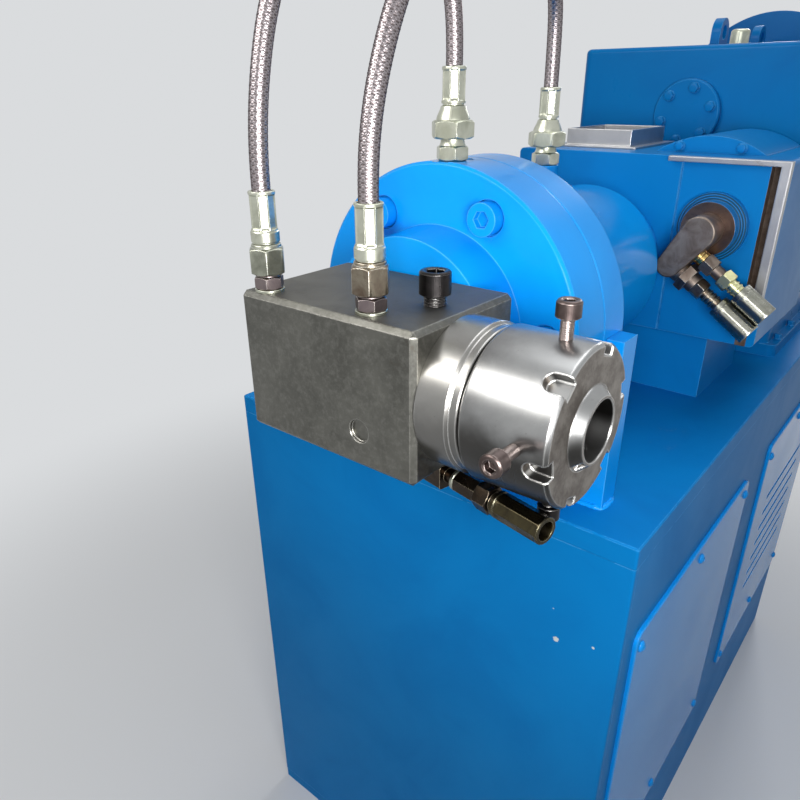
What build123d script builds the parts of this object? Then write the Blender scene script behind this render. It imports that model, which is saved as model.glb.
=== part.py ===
from build123d import *
import math
import os

# A wire extruder: a crosshead with its die nut on the front of a flanged, jacketed barrel,
# a feed section with a feed roll, a gearbox with a belt guard, and a sheet-metal base.
# Millimetres. +X is the way the coated wire leaves the die, +Y runs from the crosshead back
# along the barrel, +Z is up. The origin is on the floor, under the middle of the base.

# Where the two working axes lie
axis_height = 1000.0
barrel_x = 64.0
wire_ahead_of_base = 142.0

# Base
base_width = 592.0
base_top_below_axis = 185.0
foot_thick = 20.0
panel_thick = 8.0
top_thick = 25.0
edge_radius = 3.0

# Covers on the sides of the base
cover_thick = 5.0
cover_front_inset = 35.0
cover_rear_inset = 35.0
cover_drop = 133.0
cover_height = 480.0
cover_gap = 124.0
cover_corner = 14.0
louvre_count = 7
louvre_length = 260.0
louvre_width = 9.0
louvre_pitch = 34.0

# Saddle plate that carries the barrel's front flange
saddle_back_from_wire = 185.0
saddle_thick = 31.0
saddle_half_width = 173.0
saddle_clearance = 0.3

# Flanges and barrel, measured along the barrel from the wire line
flange_radius = 155.0
head_flange_face = 123.0
head_flange_thick = 55.0
barrel_flange_thick = 46.0
flange_edge = 2.5
boss_base_radius = 98.0
boss_face_radius = 94.0
boss_face = 74.0
melt_bore = 25.0
flange_screw_circle = 246.0
flange_screw_count = 6
flange_screw_turn = 63.0
flange_screw_head = 30.0
flange_screw_space = 1.5
flange_screw_recess = 4.0
flange_screw_proud = 12.0
flange_screw_key = 14.0
jacket_radius = 102.0
jacket_length = 232.0
jacket_edge = 6.0
neck_radius = 80.0
port_boss_radius = 15.0
port_boss_height = 34.0
port_boss_from_wire = 325.0
flange_port_from_wire = 144.0
flange_port_flat = 21.0

# Crosshead block
block_left = 73.0
block_right = 116.0
block_front = 60.0
block_up = 62.0
block_down = 64.0
block_edge = 4.0
inlet_radius = 42.0
inlet_length = 13.0
inlet_bore = 12.0
inlet_edge = 3.0
inlet_cone = 6.0
plug_radius = 10.0
plug_x = 60.0
plug_z = -31.0
plug_depth = 3.0

# Die end
collar_radius = 60.5
collar_length = 29.0
collar_edge = 2.0
band_radius = 58.0
band_length = 7.0
gap_radius = 50.0
gap_length = 2.0
nut_radius = 61.0
nut_length = 71.5
nut_edge = 2.5
nut_slot_count = 6
nut_slot_width = 14.0
nut_slot_depth = 9.0
nut_slot_length = 18.0
nut_slot_turn = -12.0
ring_radius = 32.0
ring_notch_count = 2
ring_notch_width = 9.0
ring_notch_turn = -50.0
die_radius = 22.0
die_cone_length = 6.0
ring_rim_radius = 25.5
ring_mouth_radius = 23.5
ring_proud = 7.5
die_depth = 20.0
die_bore = 1.5
die_cone_radius = 12.0
centring_screw_from_block = 85.0
centring_head = 18.0
centring_head_length = 12.5
centring_thread = 10.0
centring_proud = 12.0
centring_top_extra = 3.0
centring_front_extra = 5.5
centring_key = 8.0
clamp_screw_x = 84.0
clamp_screw_y = 7.0
clamp_thread = 16.0
clamp_head = 25.5
clamp_head_length = 19.0
clamp_proud = 8.5
clamp_key = 14.0
key_depth = 7.0

# Water elbow under the block, and the hose end on it
elbow_x = 98.0
elbow_y = 0.0
elbow_drop = 16.0
elbow_turn = 12.0
elbow_cube = 22.0
elbow_neck_radius = 8.0
elbow_stub_radius = 6.5
elbow_stub_end = 24.0
elbow_hex_flats = 17.0
elbow_hex_end = 49.0
lower_nut_flats = 22.0
lower_nut_end = 65.0
lower_groove_radius = 8.5
lower_groove_end = 67.5
lower_ferrule_radius = 11.5
lower_ferrule_end = 117.0
lower_hose_bore = 7.5
lower_hose_depth = 30.0

# Hose fittings
left_port_x = -52.0
left_port_y = -44.5
right_port_x = 58.0
right_port_y = -39.0
adaptor_flats = 22.0
adaptor_height = 14.0
hose_nut_flats = 27.0
hose_nut_height = 26.0
ferrule_ring_radius = 12.0
ferrule_ring_height = 13.0
ferrule_radius = 11.0
ferrule_height = 28.0
port_ferrule_height = 31.0
hose_radius = 8.0
port_hex_flats = 27.0
port_hex_height = 19.0
port_nut_flats = 36.0
port_nut_height = 16.0
port_taper_height = 13.0
port_seat = 1.0

# Feed section
feed_face_from_wire = 510.0
feed_length = 230.0
feed_left = 140.0
feed_right = 218.0
feed_up = 137.0
feed_down = 88.0
feed_edge = 6.0
frame_strip = 10.5
frame_top_strip = 6.0
frame_thick = 12.0
frame_groove = 12.0
frame_groove_depth = 15.0
frame_foot = 22.0
panel_seam_x = 93.0
panel_seam = 2.0
frame_left = 78.0
roll_x = 142.0
roll_z = 56.0
case_radius = 122.0
case_x = 107.5
case_z = 36.0
case_inset = 50.0
throat_left = 95.0
throat_right = 5.0
throat_inset = 62.0
throat_length = 116.0
throat_depth = 90.0
rim_height = 24.0
rim_wall = 3.0
rim_lip = 16.0
cap_radius = 42.0
cap_step_radius = 33.0
cap_thick = 10.0
cap_step_thick = 14.0
union_radius = 20.0
union_arm_radius = 15.0
union_thick = 34.0
union_turn = 34.6
union_first_outlet = 22.6
union_second_outlet = 51.1
brass_radius = 9.5
brass_end = 27.0
brass_hex_flats = 22.0
brass_hex_end = 43.0
brass_stub_radius = 8.0
brass_stub_end = 55.0
outlet_radius = 14.0
outlet_end = 20.0
outlet_flange_flats = 32.0
outlet_flange_end = 31.0
outlet_neck_radius = 12.0
outlet_neck_end = 40.0
union_nut_flats = 22.0
union_nut_length = 14.0
union_neck_radius = 9.0
union_ferrule_radius = 14.0
first_ferrule_start = 83.0
first_ferrule_end = 126.0
second_ferrule_start = 76.0
second_ferrule_end = 128.0
union_hose_bore = 8.0
union_hose_depth = 30.0
feed_foot_wide = 230.0
feed_foot_inset = 30.0

# Gearbox and belt guard
lantern_radius = 118.0
lantern_length = 36.0
gearbox_half_width = 185.0
gearbox_length = 400.0
gearbox_height_above_axis = 270.0
gearbox_edge = 14.0
gearbox_lip = 14.0
gearbox_lip_thick = 18.0
gearbox_foot = 20.0
eye_from_middle = 110.0
eye_radius = 20.0
eye_bore = 10.0
eye_thick = 14.0
bearing_cap_radius = 50.0
bearing_cap_thick = 12.0
breather_flats = 24.0
breather_hex_height = 8.0
breather_radius = 15.0
breather_height = 22.0
input_height = 175.0
input_cap_radius = 80.0
input_cap_thick = 16.0
guard_top_radius = 165.0
guard_bottom_radius = 115.0
guard_thick = 96.0
guard_drop = 665.0
guard_edge = 10.0

# The chain of pieces behind the wire line sets how long the base is
feed_back_from_wire = feed_face_from_wire + feed_length
gearbox_front = feed_back_from_wire + lantern_length
gearbox_back = gearbox_front + gearbox_length
base_length = gearbox_back + input_cap_thick - wire_ahead_of_base
base_top = axis_height - base_top_below_axis
base_back = base_length / 2
wire_y = -base_back - wire_ahead_of_base
block_top = axis_height + block_up
os.makedirs("parts", exist_ok=True)


def floor_plane(height):
    """A level plane at this height above the floor."""
    return Plane.XY.offset(height)


def across_barrel(from_wire, x=0.0, z=0.0):
    """A plane square to the barrel, facing back, with its own X to the right and Y up."""
    spot = (barrel_x + x, wire_y + from_wire, axis_height + z)
    return Plane(origin=spot, x_dir=(-1, 0, 0), z_dir=(0, 1, 0))


def facing_front(from_wire, x=0.0, z=0.0):
    """A plane square to the barrel, facing forward, with X to the right and Y up."""
    spot = (barrel_x + x, wire_y + from_wire, axis_height + z)
    return Plane(origin=spot, x_dir=(1, 0, 0), z_dir=(0, -1, 0))


def across_wire(x, y=0.0, z=0.0):
    """A plane square to the wire line, facing the way the wire leaves."""
    spot = (barrel_x + x, wire_y + y, axis_height + z)
    return Plane(origin=spot, x_dir=(0, 1, 0), z_dir=(1, 0, 0))


def on_block(x, y, height=0.0):
    """A level plane on the block's top face at this spot."""
    return Plane((barrel_x + x, wire_y + y, block_top + height))


wire_plane = Plane(origin=(barrel_x, wire_y, axis_height), x_dir=(1, 0, 0), z_dir=(0, -1, 0))
wire_axis = Axis((barrel_x, wire_y, axis_height), (1, 0, 0))
barrel_plane = Plane(origin=(barrel_x, wire_y, axis_height), x_dir=(0, 1, 0), z_dir=(1, 0, 0))
barrel_axis = Axis((barrel_x, wire_y, axis_height), (0, 1, 0))

# Base
side_length = base_length - 2 * panel_thick
side_height = base_top - foot_thick - top_thick
side_middle = foot_thick + side_height / 2

with BuildPart() as base_foot_plate:
    with BuildSketch(floor_plane(0)):
        Rectangle(base_width, base_length)
    extrude(amount=foot_thick)
    chamfer(base_foot_plate.edges().filter_by(Axis.Z), edge_radius)
base_foot_plate.part.label = "base_foot_plate"
export_step(base_foot_plate.part, "parts/base_foot_plate.step")

with BuildPart() as base_top_plate:
    with BuildSketch(floor_plane(base_top - top_thick)):
        Rectangle(base_width, base_length)
    extrude(amount=top_thick)
    fillet(base_top_plate.edges().filter_by(Axis.Z), edge_radius)
    chamfer(base_top_plate.faces().sort_by(Axis.Z)[-1].edges(), edge_radius / 2)
base_top_plate.part.label = "base_top_plate"
export_step(base_top_plate.part, "parts/base_top_plate.step")

with BuildPart() as base_front_panel:
    with BuildSketch(Plane.XZ.offset(base_back)):
        with Locations((0, side_middle)):
            Rectangle(base_width, side_height)
    extrude(amount=-panel_thick)
    fillet(base_front_panel.faces().sort_by(Axis.Y)[0].edges().filter_by(Axis.Z), edge_radius)
base_front_panel.part.label = "base_front_panel"
export_step(base_front_panel.part, "parts/base_front_panel.step")

with BuildPart() as base_rear_panel:
    with BuildSketch(Plane.XZ.offset(-base_back)):
        with Locations((0, side_middle)):
            Rectangle(base_width, side_height)
    extrude(amount=panel_thick)
    fillet(base_rear_panel.faces().sort_by(Axis.Y)[-1].edges().filter_by(Axis.Z), edge_radius)
base_rear_panel.part.label = "base_rear_panel"
export_step(base_rear_panel.part, "parts/base_rear_panel.step")


def side_panel(inner_x):
    """A side wall of the base, made from its inner face towards +X."""
    with BuildPart() as panel:
        with BuildSketch(Plane.YZ.offset(inner_x)):
            with Locations((0, side_middle)):
                Rectangle(side_length, side_height)
        extrude(amount=panel_thick)
    return panel.part


base_right_panel = side_panel(base_width / 2 - panel_thick)
base_right_panel.label = "base_right_panel"
export_step(base_right_panel, "parts/base_right_panel.step")

base_left_panel = side_panel(-base_width / 2)
base_left_panel.label = "base_left_panel"
export_step(base_left_panel, "parts/base_left_panel.step")

# Covers that are screwed to the sides of the base
cover_length = (base_length - cover_front_inset - cover_gap - cover_rear_inset) / 2
front_cover_y = -base_back + cover_front_inset + cover_length / 2
rear_cover_y = front_cover_y + cover_length + cover_gap
cover_z = base_top - cover_drop - cover_height / 2


def side_cover(inner_x, middle_y, with_louvres):
    """A flat cover plate with rounded corners, and cooling slots where it backs the motor."""
    with BuildPart() as cover:
        with BuildSketch(Plane.YZ.offset(inner_x)):
            with Locations((middle_y, cover_z)):
                RectangleRounded(cover_length, cover_height, cover_corner)
                if with_louvres:
                    with GridLocations(0, louvre_pitch, 1, louvre_count):
                        SlotOverall(louvre_length, louvre_width, mode=Mode.SUBTRACT)
        extrude(amount=cover_thick)
        chamfer(cover.faces().sort_by(Axis.X)[0 if inner_x < 0 else -1].outer_wire().edges(), 1.0)
    return cover.part


with BuildPart() as right_side_covers:
    add(side_cover(base_width / 2, front_cover_y, False))
    add(side_cover(base_width / 2, rear_cover_y, True))
right_side_covers.part.label = "right_side_covers"
export_step(right_side_covers.part, "parts/right_side_covers.step")

with BuildPart() as left_side_covers:
    add(side_cover(-base_width / 2 - cover_thick, front_cover_y, False))
    add(side_cover(-base_width / 2 - cover_thick, rear_cover_y, True))
left_side_covers.part.label = "left_side_covers"
export_step(left_side_covers.part, "parts/left_side_covers.step")

# Saddle plate, cut round the barrel's front flange
with BuildPart() as saddle_plate:
    with BuildSketch(facing_front(saddle_back_from_wire)) as saddle_outline:
        with Locations((0, -base_top_below_axis / 2)):
            Rectangle(2 * saddle_half_width, base_top_below_axis)
        Circle(flange_radius + saddle_clearance, mode=Mode.SUBTRACT)
    extrude(amount=-saddle_thick)
saddle_plate.part.label = "saddle_plate"
export_step(saddle_plate.part, "parts/saddle_plate.step")

# Head flange with its conical boss; the block seats on the boss
head_flange_back = head_flange_face + head_flange_thick
barrel_flange_back = head_flange_back + barrel_flange_thick
jacket_back = barrel_flange_back + jacket_length
with BuildPart() as head_flange:
    with BuildSketch(barrel_plane):
        with BuildLine():
            Polyline(
                (boss_face, melt_bore),
                (boss_face, boss_face_radius),
                (head_flange_face, boss_base_radius),
                (head_flange_face, flange_radius - flange_edge),
                (head_flange_face + flange_edge, flange_radius),
                (head_flange_back - flange_edge / 2, flange_radius),
                (head_flange_back, flange_radius - flange_edge / 2),
                (head_flange_back, melt_bore),
                close=True,
            )
        make_face()
    revolve(axis=barrel_axis)
    with BuildSketch(facing_front(head_flange_face)):
        with PolarLocations(flange_screw_circle / 2, flange_screw_count, flange_screw_turn):
            Circle(flange_screw_head / 2 + flange_screw_space)
    extrude(amount=-flange_screw_recess, mode=Mode.SUBTRACT)
    with BuildSketch(Plane((barrel_x, wire_y + flange_port_from_wire, axis_height + flange_radius))):
        Circle(flange_port_flat)
    extrude(amount=-port_seat, mode=Mode.SUBTRACT)
head_flange.part.label = "head_flange"
export_step(head_flange.part, "parts/head_flange.step")

with BuildPart() as flange_screws:
    with BuildSketch(facing_front(head_flange_face - flange_screw_proud)):
        with PolarLocations(flange_screw_circle / 2, flange_screw_count, flange_screw_turn):
            Circle(flange_screw_head / 2)
    extrude(amount=-(flange_screw_proud + flange_screw_recess))
    with BuildSketch(facing_front(head_flange_face - flange_screw_proud)):
        with PolarLocations(flange_screw_circle / 2, flange_screw_count, flange_screw_turn):
            RegularPolygon(flange_screw_key / 2, 6, major_radius=False)
    extrude(amount=-key_depth, mode=Mode.SUBTRACT)
flange_screws.part.label = "flange_screws"
export_step(flange_screws.part, "parts/flange_screws.step")

with BuildPart() as barrel_flange:
    with BuildSketch(barrel_plane):
        with BuildLine():
            Polyline(
                (head_flange_back, melt_bore),
                (head_flange_back, flange_radius - flange_edge / 2),
                (head_flange_back + flange_edge / 2, flange_radius),
                (barrel_flange_back - flange_edge, flange_radius),
                (barrel_flange_back, flange_radius - flange_edge),
                (barrel_flange_back, melt_bore),
                close=True,
            )
        make_face()
    revolve(axis=barrel_axis)
barrel_flange.part.label = "barrel_flange"
export_step(barrel_flange.part, "parts/barrel_flange.step")

with BuildPart() as barrel_jacket:
    with BuildSketch(barrel_plane):
        with BuildLine():
            Polyline(
                (barrel_flange_back, melt_bore),
                (barrel_flange_back, jacket_radius),
                (jacket_back - jacket_edge, jacket_radius),
                (jacket_back, jacket_radius - jacket_edge),
                (jacket_back, neck_radius),
                (feed_face_from_wire, neck_radius),
                (feed_face_from_wire, melt_bore),
                close=True,
            )
        make_face()
    revolve(axis=barrel_axis)
    with BuildSketch(Plane((barrel_x, wire_y + port_boss_from_wire, axis_height))):
        Circle(port_boss_radius)
    extrude(amount=jacket_radius + port_boss_height)
    with BuildSketch(across_barrel(barrel_flange_back)):
        Circle(melt_bore)
    extrude(amount=feed_face_from_wire - barrel_flange_back, mode=Mode.SUBTRACT)
barrel_jacket.part.label = "barrel_jacket"
export_step(barrel_jacket.part, "parts/barrel_jacket.step")

# Crosshead block with the melt inlet at its back, and the wire bore through it
block_length = block_left + block_right
block_width = boss_face + block_front
block_height = block_up + block_down
block_middle_x = barrel_x + (block_right - block_left) / 2
block_middle_y = wire_y + (boss_face - block_front) / 2
with BuildPart() as crosshead_block:
    with BuildSketch(Plane((block_middle_x, block_middle_y, axis_height - block_down))):
        Rectangle(block_length, block_width)
    extrude(amount=block_height)
    chamfer(crosshead_block.edges(), block_edge)
    with BuildSketch(across_wire(-block_left)):
        Circle(inlet_bore)
    extrude(amount=block_length, mode=Mode.SUBTRACT)
    with BuildSketch(facing_front(boss_face)):
        Circle(melt_bore)
    extrude(amount=boss_face, mode=Mode.SUBTRACT)
    with BuildSketch(facing_front(-block_front, plug_x, plug_z)):
        Circle(plug_radius)
    extrude(amount=-plug_depth, mode=Mode.SUBTRACT)
    with BuildSketch(on_block(clamp_screw_x, clamp_screw_y)):
        Circle(clamp_thread / 2)
    extrude(amount=-block_up / 2, mode=Mode.SUBTRACT)
crosshead_block.part.label = "crosshead_block"
export_step(crosshead_block.part, "parts/crosshead_block.step")

with BuildPart() as inlet_collar:
    with BuildSketch(wire_plane):
        with BuildLine():
            Polyline(
                (-block_left, inlet_bore),
                (-block_left, inlet_radius),
                (-block_left - inlet_length + inlet_edge, inlet_radius),
                (-block_left - inlet_length, inlet_radius - inlet_edge),
                (-block_left - inlet_length, inlet_bore + inlet_cone),
                (-block_left - inlet_length + inlet_cone, inlet_bore),
                close=True,
            )
        make_face()
    revolve(axis=wire_axis)
inlet_collar.part.label = "inlet_collar"
export_step(inlet_collar.part, "parts/inlet_collar.step")

# Die end: collar, groove, turned nut with spanner slots, lock ring and die
collar_end = block_right + collar_length
band_end = collar_end + band_length
nut_start = band_end + gap_length
nut_end = nut_start + nut_length
with BuildPart() as die_collar:
    with BuildSketch(wire_plane):
        with BuildLine():
            Polyline(
                (block_right, inlet_bore),
                (block_right, collar_radius),
                (collar_end - collar_edge, collar_radius),
                (collar_end, collar_radius - collar_edge),
                (collar_end, band_radius),
                (band_end - collar_edge / 2, band_radius),
                (band_end, band_radius - collar_edge / 2),
                (band_end, gap_radius),
                (nut_start, gap_radius),
                (nut_start, inlet_bore),
                close=True,
            )
        make_face()
    revolve(axis=wire_axis)
die_collar.part.label = "die_collar"
export_step(die_collar.part, "parts/die_collar.step")

with BuildPart() as die_nut:
    with BuildSketch(wire_plane):
        with BuildLine():
            Polyline(
                (nut_start, ring_radius),
                (nut_start, nut_radius - nut_edge),
                (nut_start + nut_edge, nut_radius),
                (nut_end - nut_edge, nut_radius),
                (nut_end, nut_radius - nut_edge),
                (nut_end, ring_radius),
                close=True,
            )
        make_face()
    revolve(axis=wire_axis)
    # Spanner slots, open to the front face and rounded at their inner end
    slot_straight = nut_slot_length - nut_slot_width / 2
    for copy in range(nut_slot_count):
        angle = math.radians(180 - nut_slot_turn + 360 / nut_slot_count * copy)
        out = (0, math.cos(angle), math.sin(angle))
        floor = Plane(origin=(barrel_x + nut_end - slot_straight, wire_y, axis_height),
                      x_dir=(1, 0, 0), z_dir=out).offset(nut_radius - nut_slot_depth)
        with BuildSketch(floor):
            Circle(nut_slot_width / 2)
            with Locations((slot_straight / 2, 0)):
                Rectangle(slot_straight, nut_slot_width)
        extrude(amount=2 * nut_slot_depth, mode=Mode.SUBTRACT)
die_nut.part.label = "die_nut"
export_step(die_nut.part, "parts/die_nut.step")

with BuildPart() as lock_ring:
    with BuildSketch(wire_plane):
        with BuildLine():
            Polyline(
                (nut_start, die_radius),
                (nut_start, ring_radius),
                (nut_end, ring_radius),
                (nut_end + ring_proud, ring_rim_radius),
                (nut_end + ring_proud, ring_mouth_radius),
                (nut_end - die_depth, ring_mouth_radius),
                (nut_end - die_depth, die_radius),
                close=True,
            )
        make_face()
    revolve(axis=wire_axis)
    with BuildSketch(across_wire(nut_end + ring_proud)):
        with PolarLocations(ring_radius, ring_notch_count, 180 - ring_notch_turn):
            Rectangle(2 * (ring_radius - ring_rim_radius), ring_notch_width)
    extrude(amount=-ring_proud, mode=Mode.SUBTRACT)
lock_ring.part.label = "lock_ring"
export_step(lock_ring.part, "parts/lock_ring.step")

with BuildPart() as die:
    with BuildSketch(wire_plane):
        with BuildLine():
            Polyline(
                (nut_start, die_bore),
                (nut_start, die_radius),
                (nut_end - die_depth, die_radius),
                (nut_end - die_depth, die_cone_radius),
                (nut_end - die_depth - die_cone_length, die_cone_radius / 2),
                (nut_end - die_depth - die_cone_length, die_bore),
                close=True,
            )
        make_face()
    revolve(axis=wire_axis)
die.part.label = "die"
export_step(die.part, "parts/die.step")

# Four centring screws stand out of the nut, square to the wire
screw_x = block_right + centring_screw_from_block
with BuildPart() as centring_screws:
    for turn in range(4):
        angle = math.radians(90 * turn)
        out = (0, math.cos(angle), math.sin(angle))
        along = Plane(origin=(barrel_x + screw_x, wire_y, axis_height), x_dir=(1, 0, 0), z_dir=out)
        proud = centring_proud + (0, centring_top_extra, centring_front_extra, 0)[turn]
        with BuildSketch(along.offset(nut_radius)):
            Circle(centring_thread / 2)
        extrude(amount=proud)
        with BuildSketch(along.offset(nut_radius + proud)):
            Circle(centring_head / 2)
        extrude(amount=centring_head_length)
        with BuildSketch(along.offset(nut_radius + proud + centring_head_length)):
            RegularPolygon(centring_key / 2, 6, major_radius=False)
        extrude(amount=-key_depth, mode=Mode.SUBTRACT)
centring_screws.part.label = "centring_screws"
export_step(centring_screws.part, "parts/centring_screws.step")

with BuildPart() as clamp_screw:
    with BuildSketch(on_block(clamp_screw_x, clamp_screw_y, -block_up / 2)):
        Circle(clamp_thread / 2)
    extrude(amount=block_up / 2 + clamp_proud)
    with BuildSketch(on_block(clamp_screw_x, clamp_screw_y, clamp_proud)):
        Circle(clamp_head / 2)
    extrude(amount=clamp_head_length)
    with BuildSketch(on_block(clamp_screw_x, clamp_screw_y, clamp_proud + clamp_head_length)):
        RegularPolygon(clamp_key / 2, 6, major_radius=False)
    extrude(amount=-key_depth, mode=Mode.SUBTRACT)
clamp_screw.part.label = "clamp_screw"
export_step(clamp_screw.part, "parts/clamp_screw.step")

# Elbow under the block: a stub, a hexagon and a crimped hose end, turned a little forward
elbow_angle = math.radians(elbow_turn)
elbow_plane = Plane(
    origin=(barrel_x + elbow_x, wire_y + elbow_y, axis_height - block_down - elbow_drop),
    x_dir=(0, 0, 1),
    z_dir=(math.cos(elbow_angle), -math.sin(elbow_angle), 0),
)
with BuildPart() as lower_elbow:
    with BuildSketch(elbow_plane.offset(-elbow_cube / 2)):
        RectangleRounded(elbow_cube, elbow_cube, elbow_cube / 8)
    extrude(amount=elbow_cube)
    with BuildSketch(Plane((barrel_x + elbow_x, wire_y + elbow_y, axis_height - block_down))):
        Circle(elbow_neck_radius)
    extrude(amount=-elbow_drop)
    with BuildSketch(elbow_plane):
        Circle(elbow_stub_radius)
    extrude(amount=elbow_stub_end)
    with BuildSketch(elbow_plane.offset(elbow_stub_end)):
        RegularPolygon(elbow_hex_flats / 2, 6, major_radius=False)
    extrude(amount=elbow_hex_end - elbow_stub_end)
lower_elbow.part.label = "lower_elbow"
export_step(lower_elbow.part, "parts/lower_elbow.step")

with BuildPart() as lower_hose_end:
    with BuildSketch(elbow_plane.offset(elbow_hex_end)):
        RegularPolygon(lower_nut_flats / 2, 6, major_radius=False)
    extrude(amount=lower_nut_end - elbow_hex_end)
    with BuildSketch(elbow_plane.offset(lower_nut_end)):
        Circle(lower_groove_radius)
    extrude(amount=lower_groove_end - lower_nut_end)
    with BuildSketch(elbow_plane.offset(lower_groove_end)):
        Circle(lower_ferrule_radius)
    extrude(amount=lower_ferrule_end - lower_groove_end)
    chamfer(lower_hose_end.edges().filter_by(GeomType.CIRCLE), collar_edge / 4)
    with BuildSketch(elbow_plane.offset(lower_ferrule_end)):
        Circle(lower_hose_bore)
    extrude(amount=-lower_hose_depth, mode=Mode.SUBTRACT)
lower_hose_end.part.label = "lower_hose_end"
export_step(lower_hose_end.part, "parts/lower_hose_end.step")

# Hose ends on the block: a dark adaptor, a nut, a ring and a crimped ferrule
with BuildPart() as hose_adaptors:
    with BuildSketch(on_block(left_port_x, left_port_y)):
        RegularPolygon(adaptor_flats / 2, 6, major_radius=False)
    with BuildSketch(on_block(right_port_x, right_port_y)):
        RegularPolygon(adaptor_flats / 2, 6, major_radius=False)
    extrude(amount=adaptor_height)
hose_adaptors.part.label = "hose_adaptors"
export_step(hose_adaptors.part, "parts/hose_adaptors.step")

hose_start = adaptor_height + hose_nut_height + ferrule_ring_height + ferrule_height


def hose_end(x, y):
    """The swivel nut, ring and crimped ferrule at the foot of a hose."""
    with BuildPart() as end:
        with BuildSketch(on_block(x, y, adaptor_height)):
            RegularPolygon(hose_nut_flats / 2, 6, major_radius=False)
        extrude(amount=hose_nut_height)
        with BuildSketch(on_block(x, y, adaptor_height + hose_nut_height)):
            Circle(ferrule_ring_radius)
        extrude(amount=ferrule_ring_height)
        with BuildSketch(on_block(x, y, hose_start - ferrule_height)):
            Circle(ferrule_radius)
        extrude(amount=ferrule_height)
    return end.part


left_hose_end = hose_end(left_port_x, left_port_y)
left_hose_end.label = "left_hose_end"
export_step(left_hose_end, "parts/left_hose_end.step")

right_hose_end = hose_end(right_port_x, right_port_y)
right_hose_end.label = "right_hose_end"
export_step(right_hose_end, "parts/right_hose_end.step")


def port_fitting(from_wire, foot_height):
    """A hexagon, a swivel nut, a taper and a ferrule standing on a port above the barrel."""
    spot = Plane((barrel_x, wire_y + from_wire, axis_height + foot_height))
    top = port_hex_height + port_nut_height
    with BuildPart() as fitting:
        with BuildSketch(spot):
            RegularPolygon(port_hex_flats / 2, 6, major_radius=False)
        extrude(amount=port_hex_height)
        with BuildSketch(spot.offset(port_hex_height)):
            RegularPolygon(port_nut_flats / 2, 6, major_radius=False)
        extrude(amount=port_nut_height)
        with BuildSketch(spot.offset(top)):
            Circle(port_nut_flats / 2 - 1)
        with BuildSketch(spot.offset(top + port_taper_height)):
            Circle(ferrule_ring_radius)
        loft()
        with BuildSketch(spot.offset(top + port_taper_height)):
            Circle(ferrule_radius)
        extrude(amount=port_ferrule_height)
    return fitting.part


port_fitting_height = port_hex_height + port_nut_height + port_taper_height + port_ferrule_height
flange_port_height = flange_radius - port_seat
barrel_port_height = jacket_radius + port_boss_height

flange_port_fitting = port_fitting(flange_port_from_wire, flange_port_height)
flange_port_fitting.label = "flange_port_fitting"
export_step(flange_port_fitting, "parts/flange_port_fitting.step")

barrel_port_fitting = port_fitting(port_boss_from_wire, barrel_port_height)
barrel_port_fitting.label = "barrel_port_fitting"
export_step(barrel_port_fitting, "parts/barrel_port_fitting.step")

# Braided hoses, from the block's ports over to the ports on the flange and the barrel.
# Each route is a list of points from the barrel axis, the wire line and the axis height.
hose_foot = block_up + hose_start
left_top = flange_port_height + port_fitting_height
right_top = barrel_port_height + port_fitting_height
left_route = [
    (left_port_x, left_port_y, hose_foot),
    (left_port_x, left_port_y, 172),
    (-50.4, -38.6, 221.6),
    (-47.6, -26.5, 271),
    (-42.7, -6, 316),
    (-34, 26, 346),
    (-22.8, 64.4, 357),
    (-11.7, 102.6, 345),
    (-3.6, 131, 315),
    (0, flange_port_from_wire, 276),
    (0, flange_port_from_wire, left_top),
]
right_route = [
    (right_port_x, right_port_y, hose_foot),
    (right_port_x, right_port_y, 170),
    (58, -30, 215),
    (59, -10, 265),
    (58.5, 22, 311),
    (55, 65, 345),
    (48, 116, 362),
    (39, 170, 363),
    (28, 222, 352),
    (16, 272, 330),
    (5, 311, 300),
    (0, port_boss_from_wire, 260),
    (0, port_boss_from_wire, right_top),
]


def hose(route, name):
    """A plain tube along straight runs, with an arc at each corner as large as its runs allow."""
    points = [Vector(barrel_x + x, wire_y + y, axis_height + z) for x, y, z in route]
    radii = []
    for before, corner, after in zip(points, points[1:], points[2:]):
        run_in = corner - before
        run_out = after - corner
        half_turn = math.radians(run_in.get_angle(run_out)) / 2
        radii.append(0.45 * min(run_in.length, run_out.length) / math.tan(half_turn))
    print(name, "arc radii", [round(radius) for radius in radii])
    with BuildPart() as tube:
        with BuildLine() as path:
            FilletPolyline(*points, radius=radii)
        with BuildSketch(Plane(origin=points[0], z_dir=(0, 0, 1))):
            Circle(hose_radius)
        sweep()
    length = sum(edge.length for edge in path.edges())
    share = tube.part.volume / (math.pi * hose_radius**2 * length)
    print(name, "length", round(length), "mm, volume against section times length", round(share, 3))
    return tube.part


left_braided_hose = hose(left_route, "left_braided_hose")
left_braided_hose.label = "left_braided_hose"
export_step(left_braided_hose, "parts/left_braided_hose.step")

right_braided_hose = hose(right_route, "right_braided_hose")
right_braided_hose.label = "right_braided_hose"
export_step(right_braided_hose, "parts/right_braided_hose.step")

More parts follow.
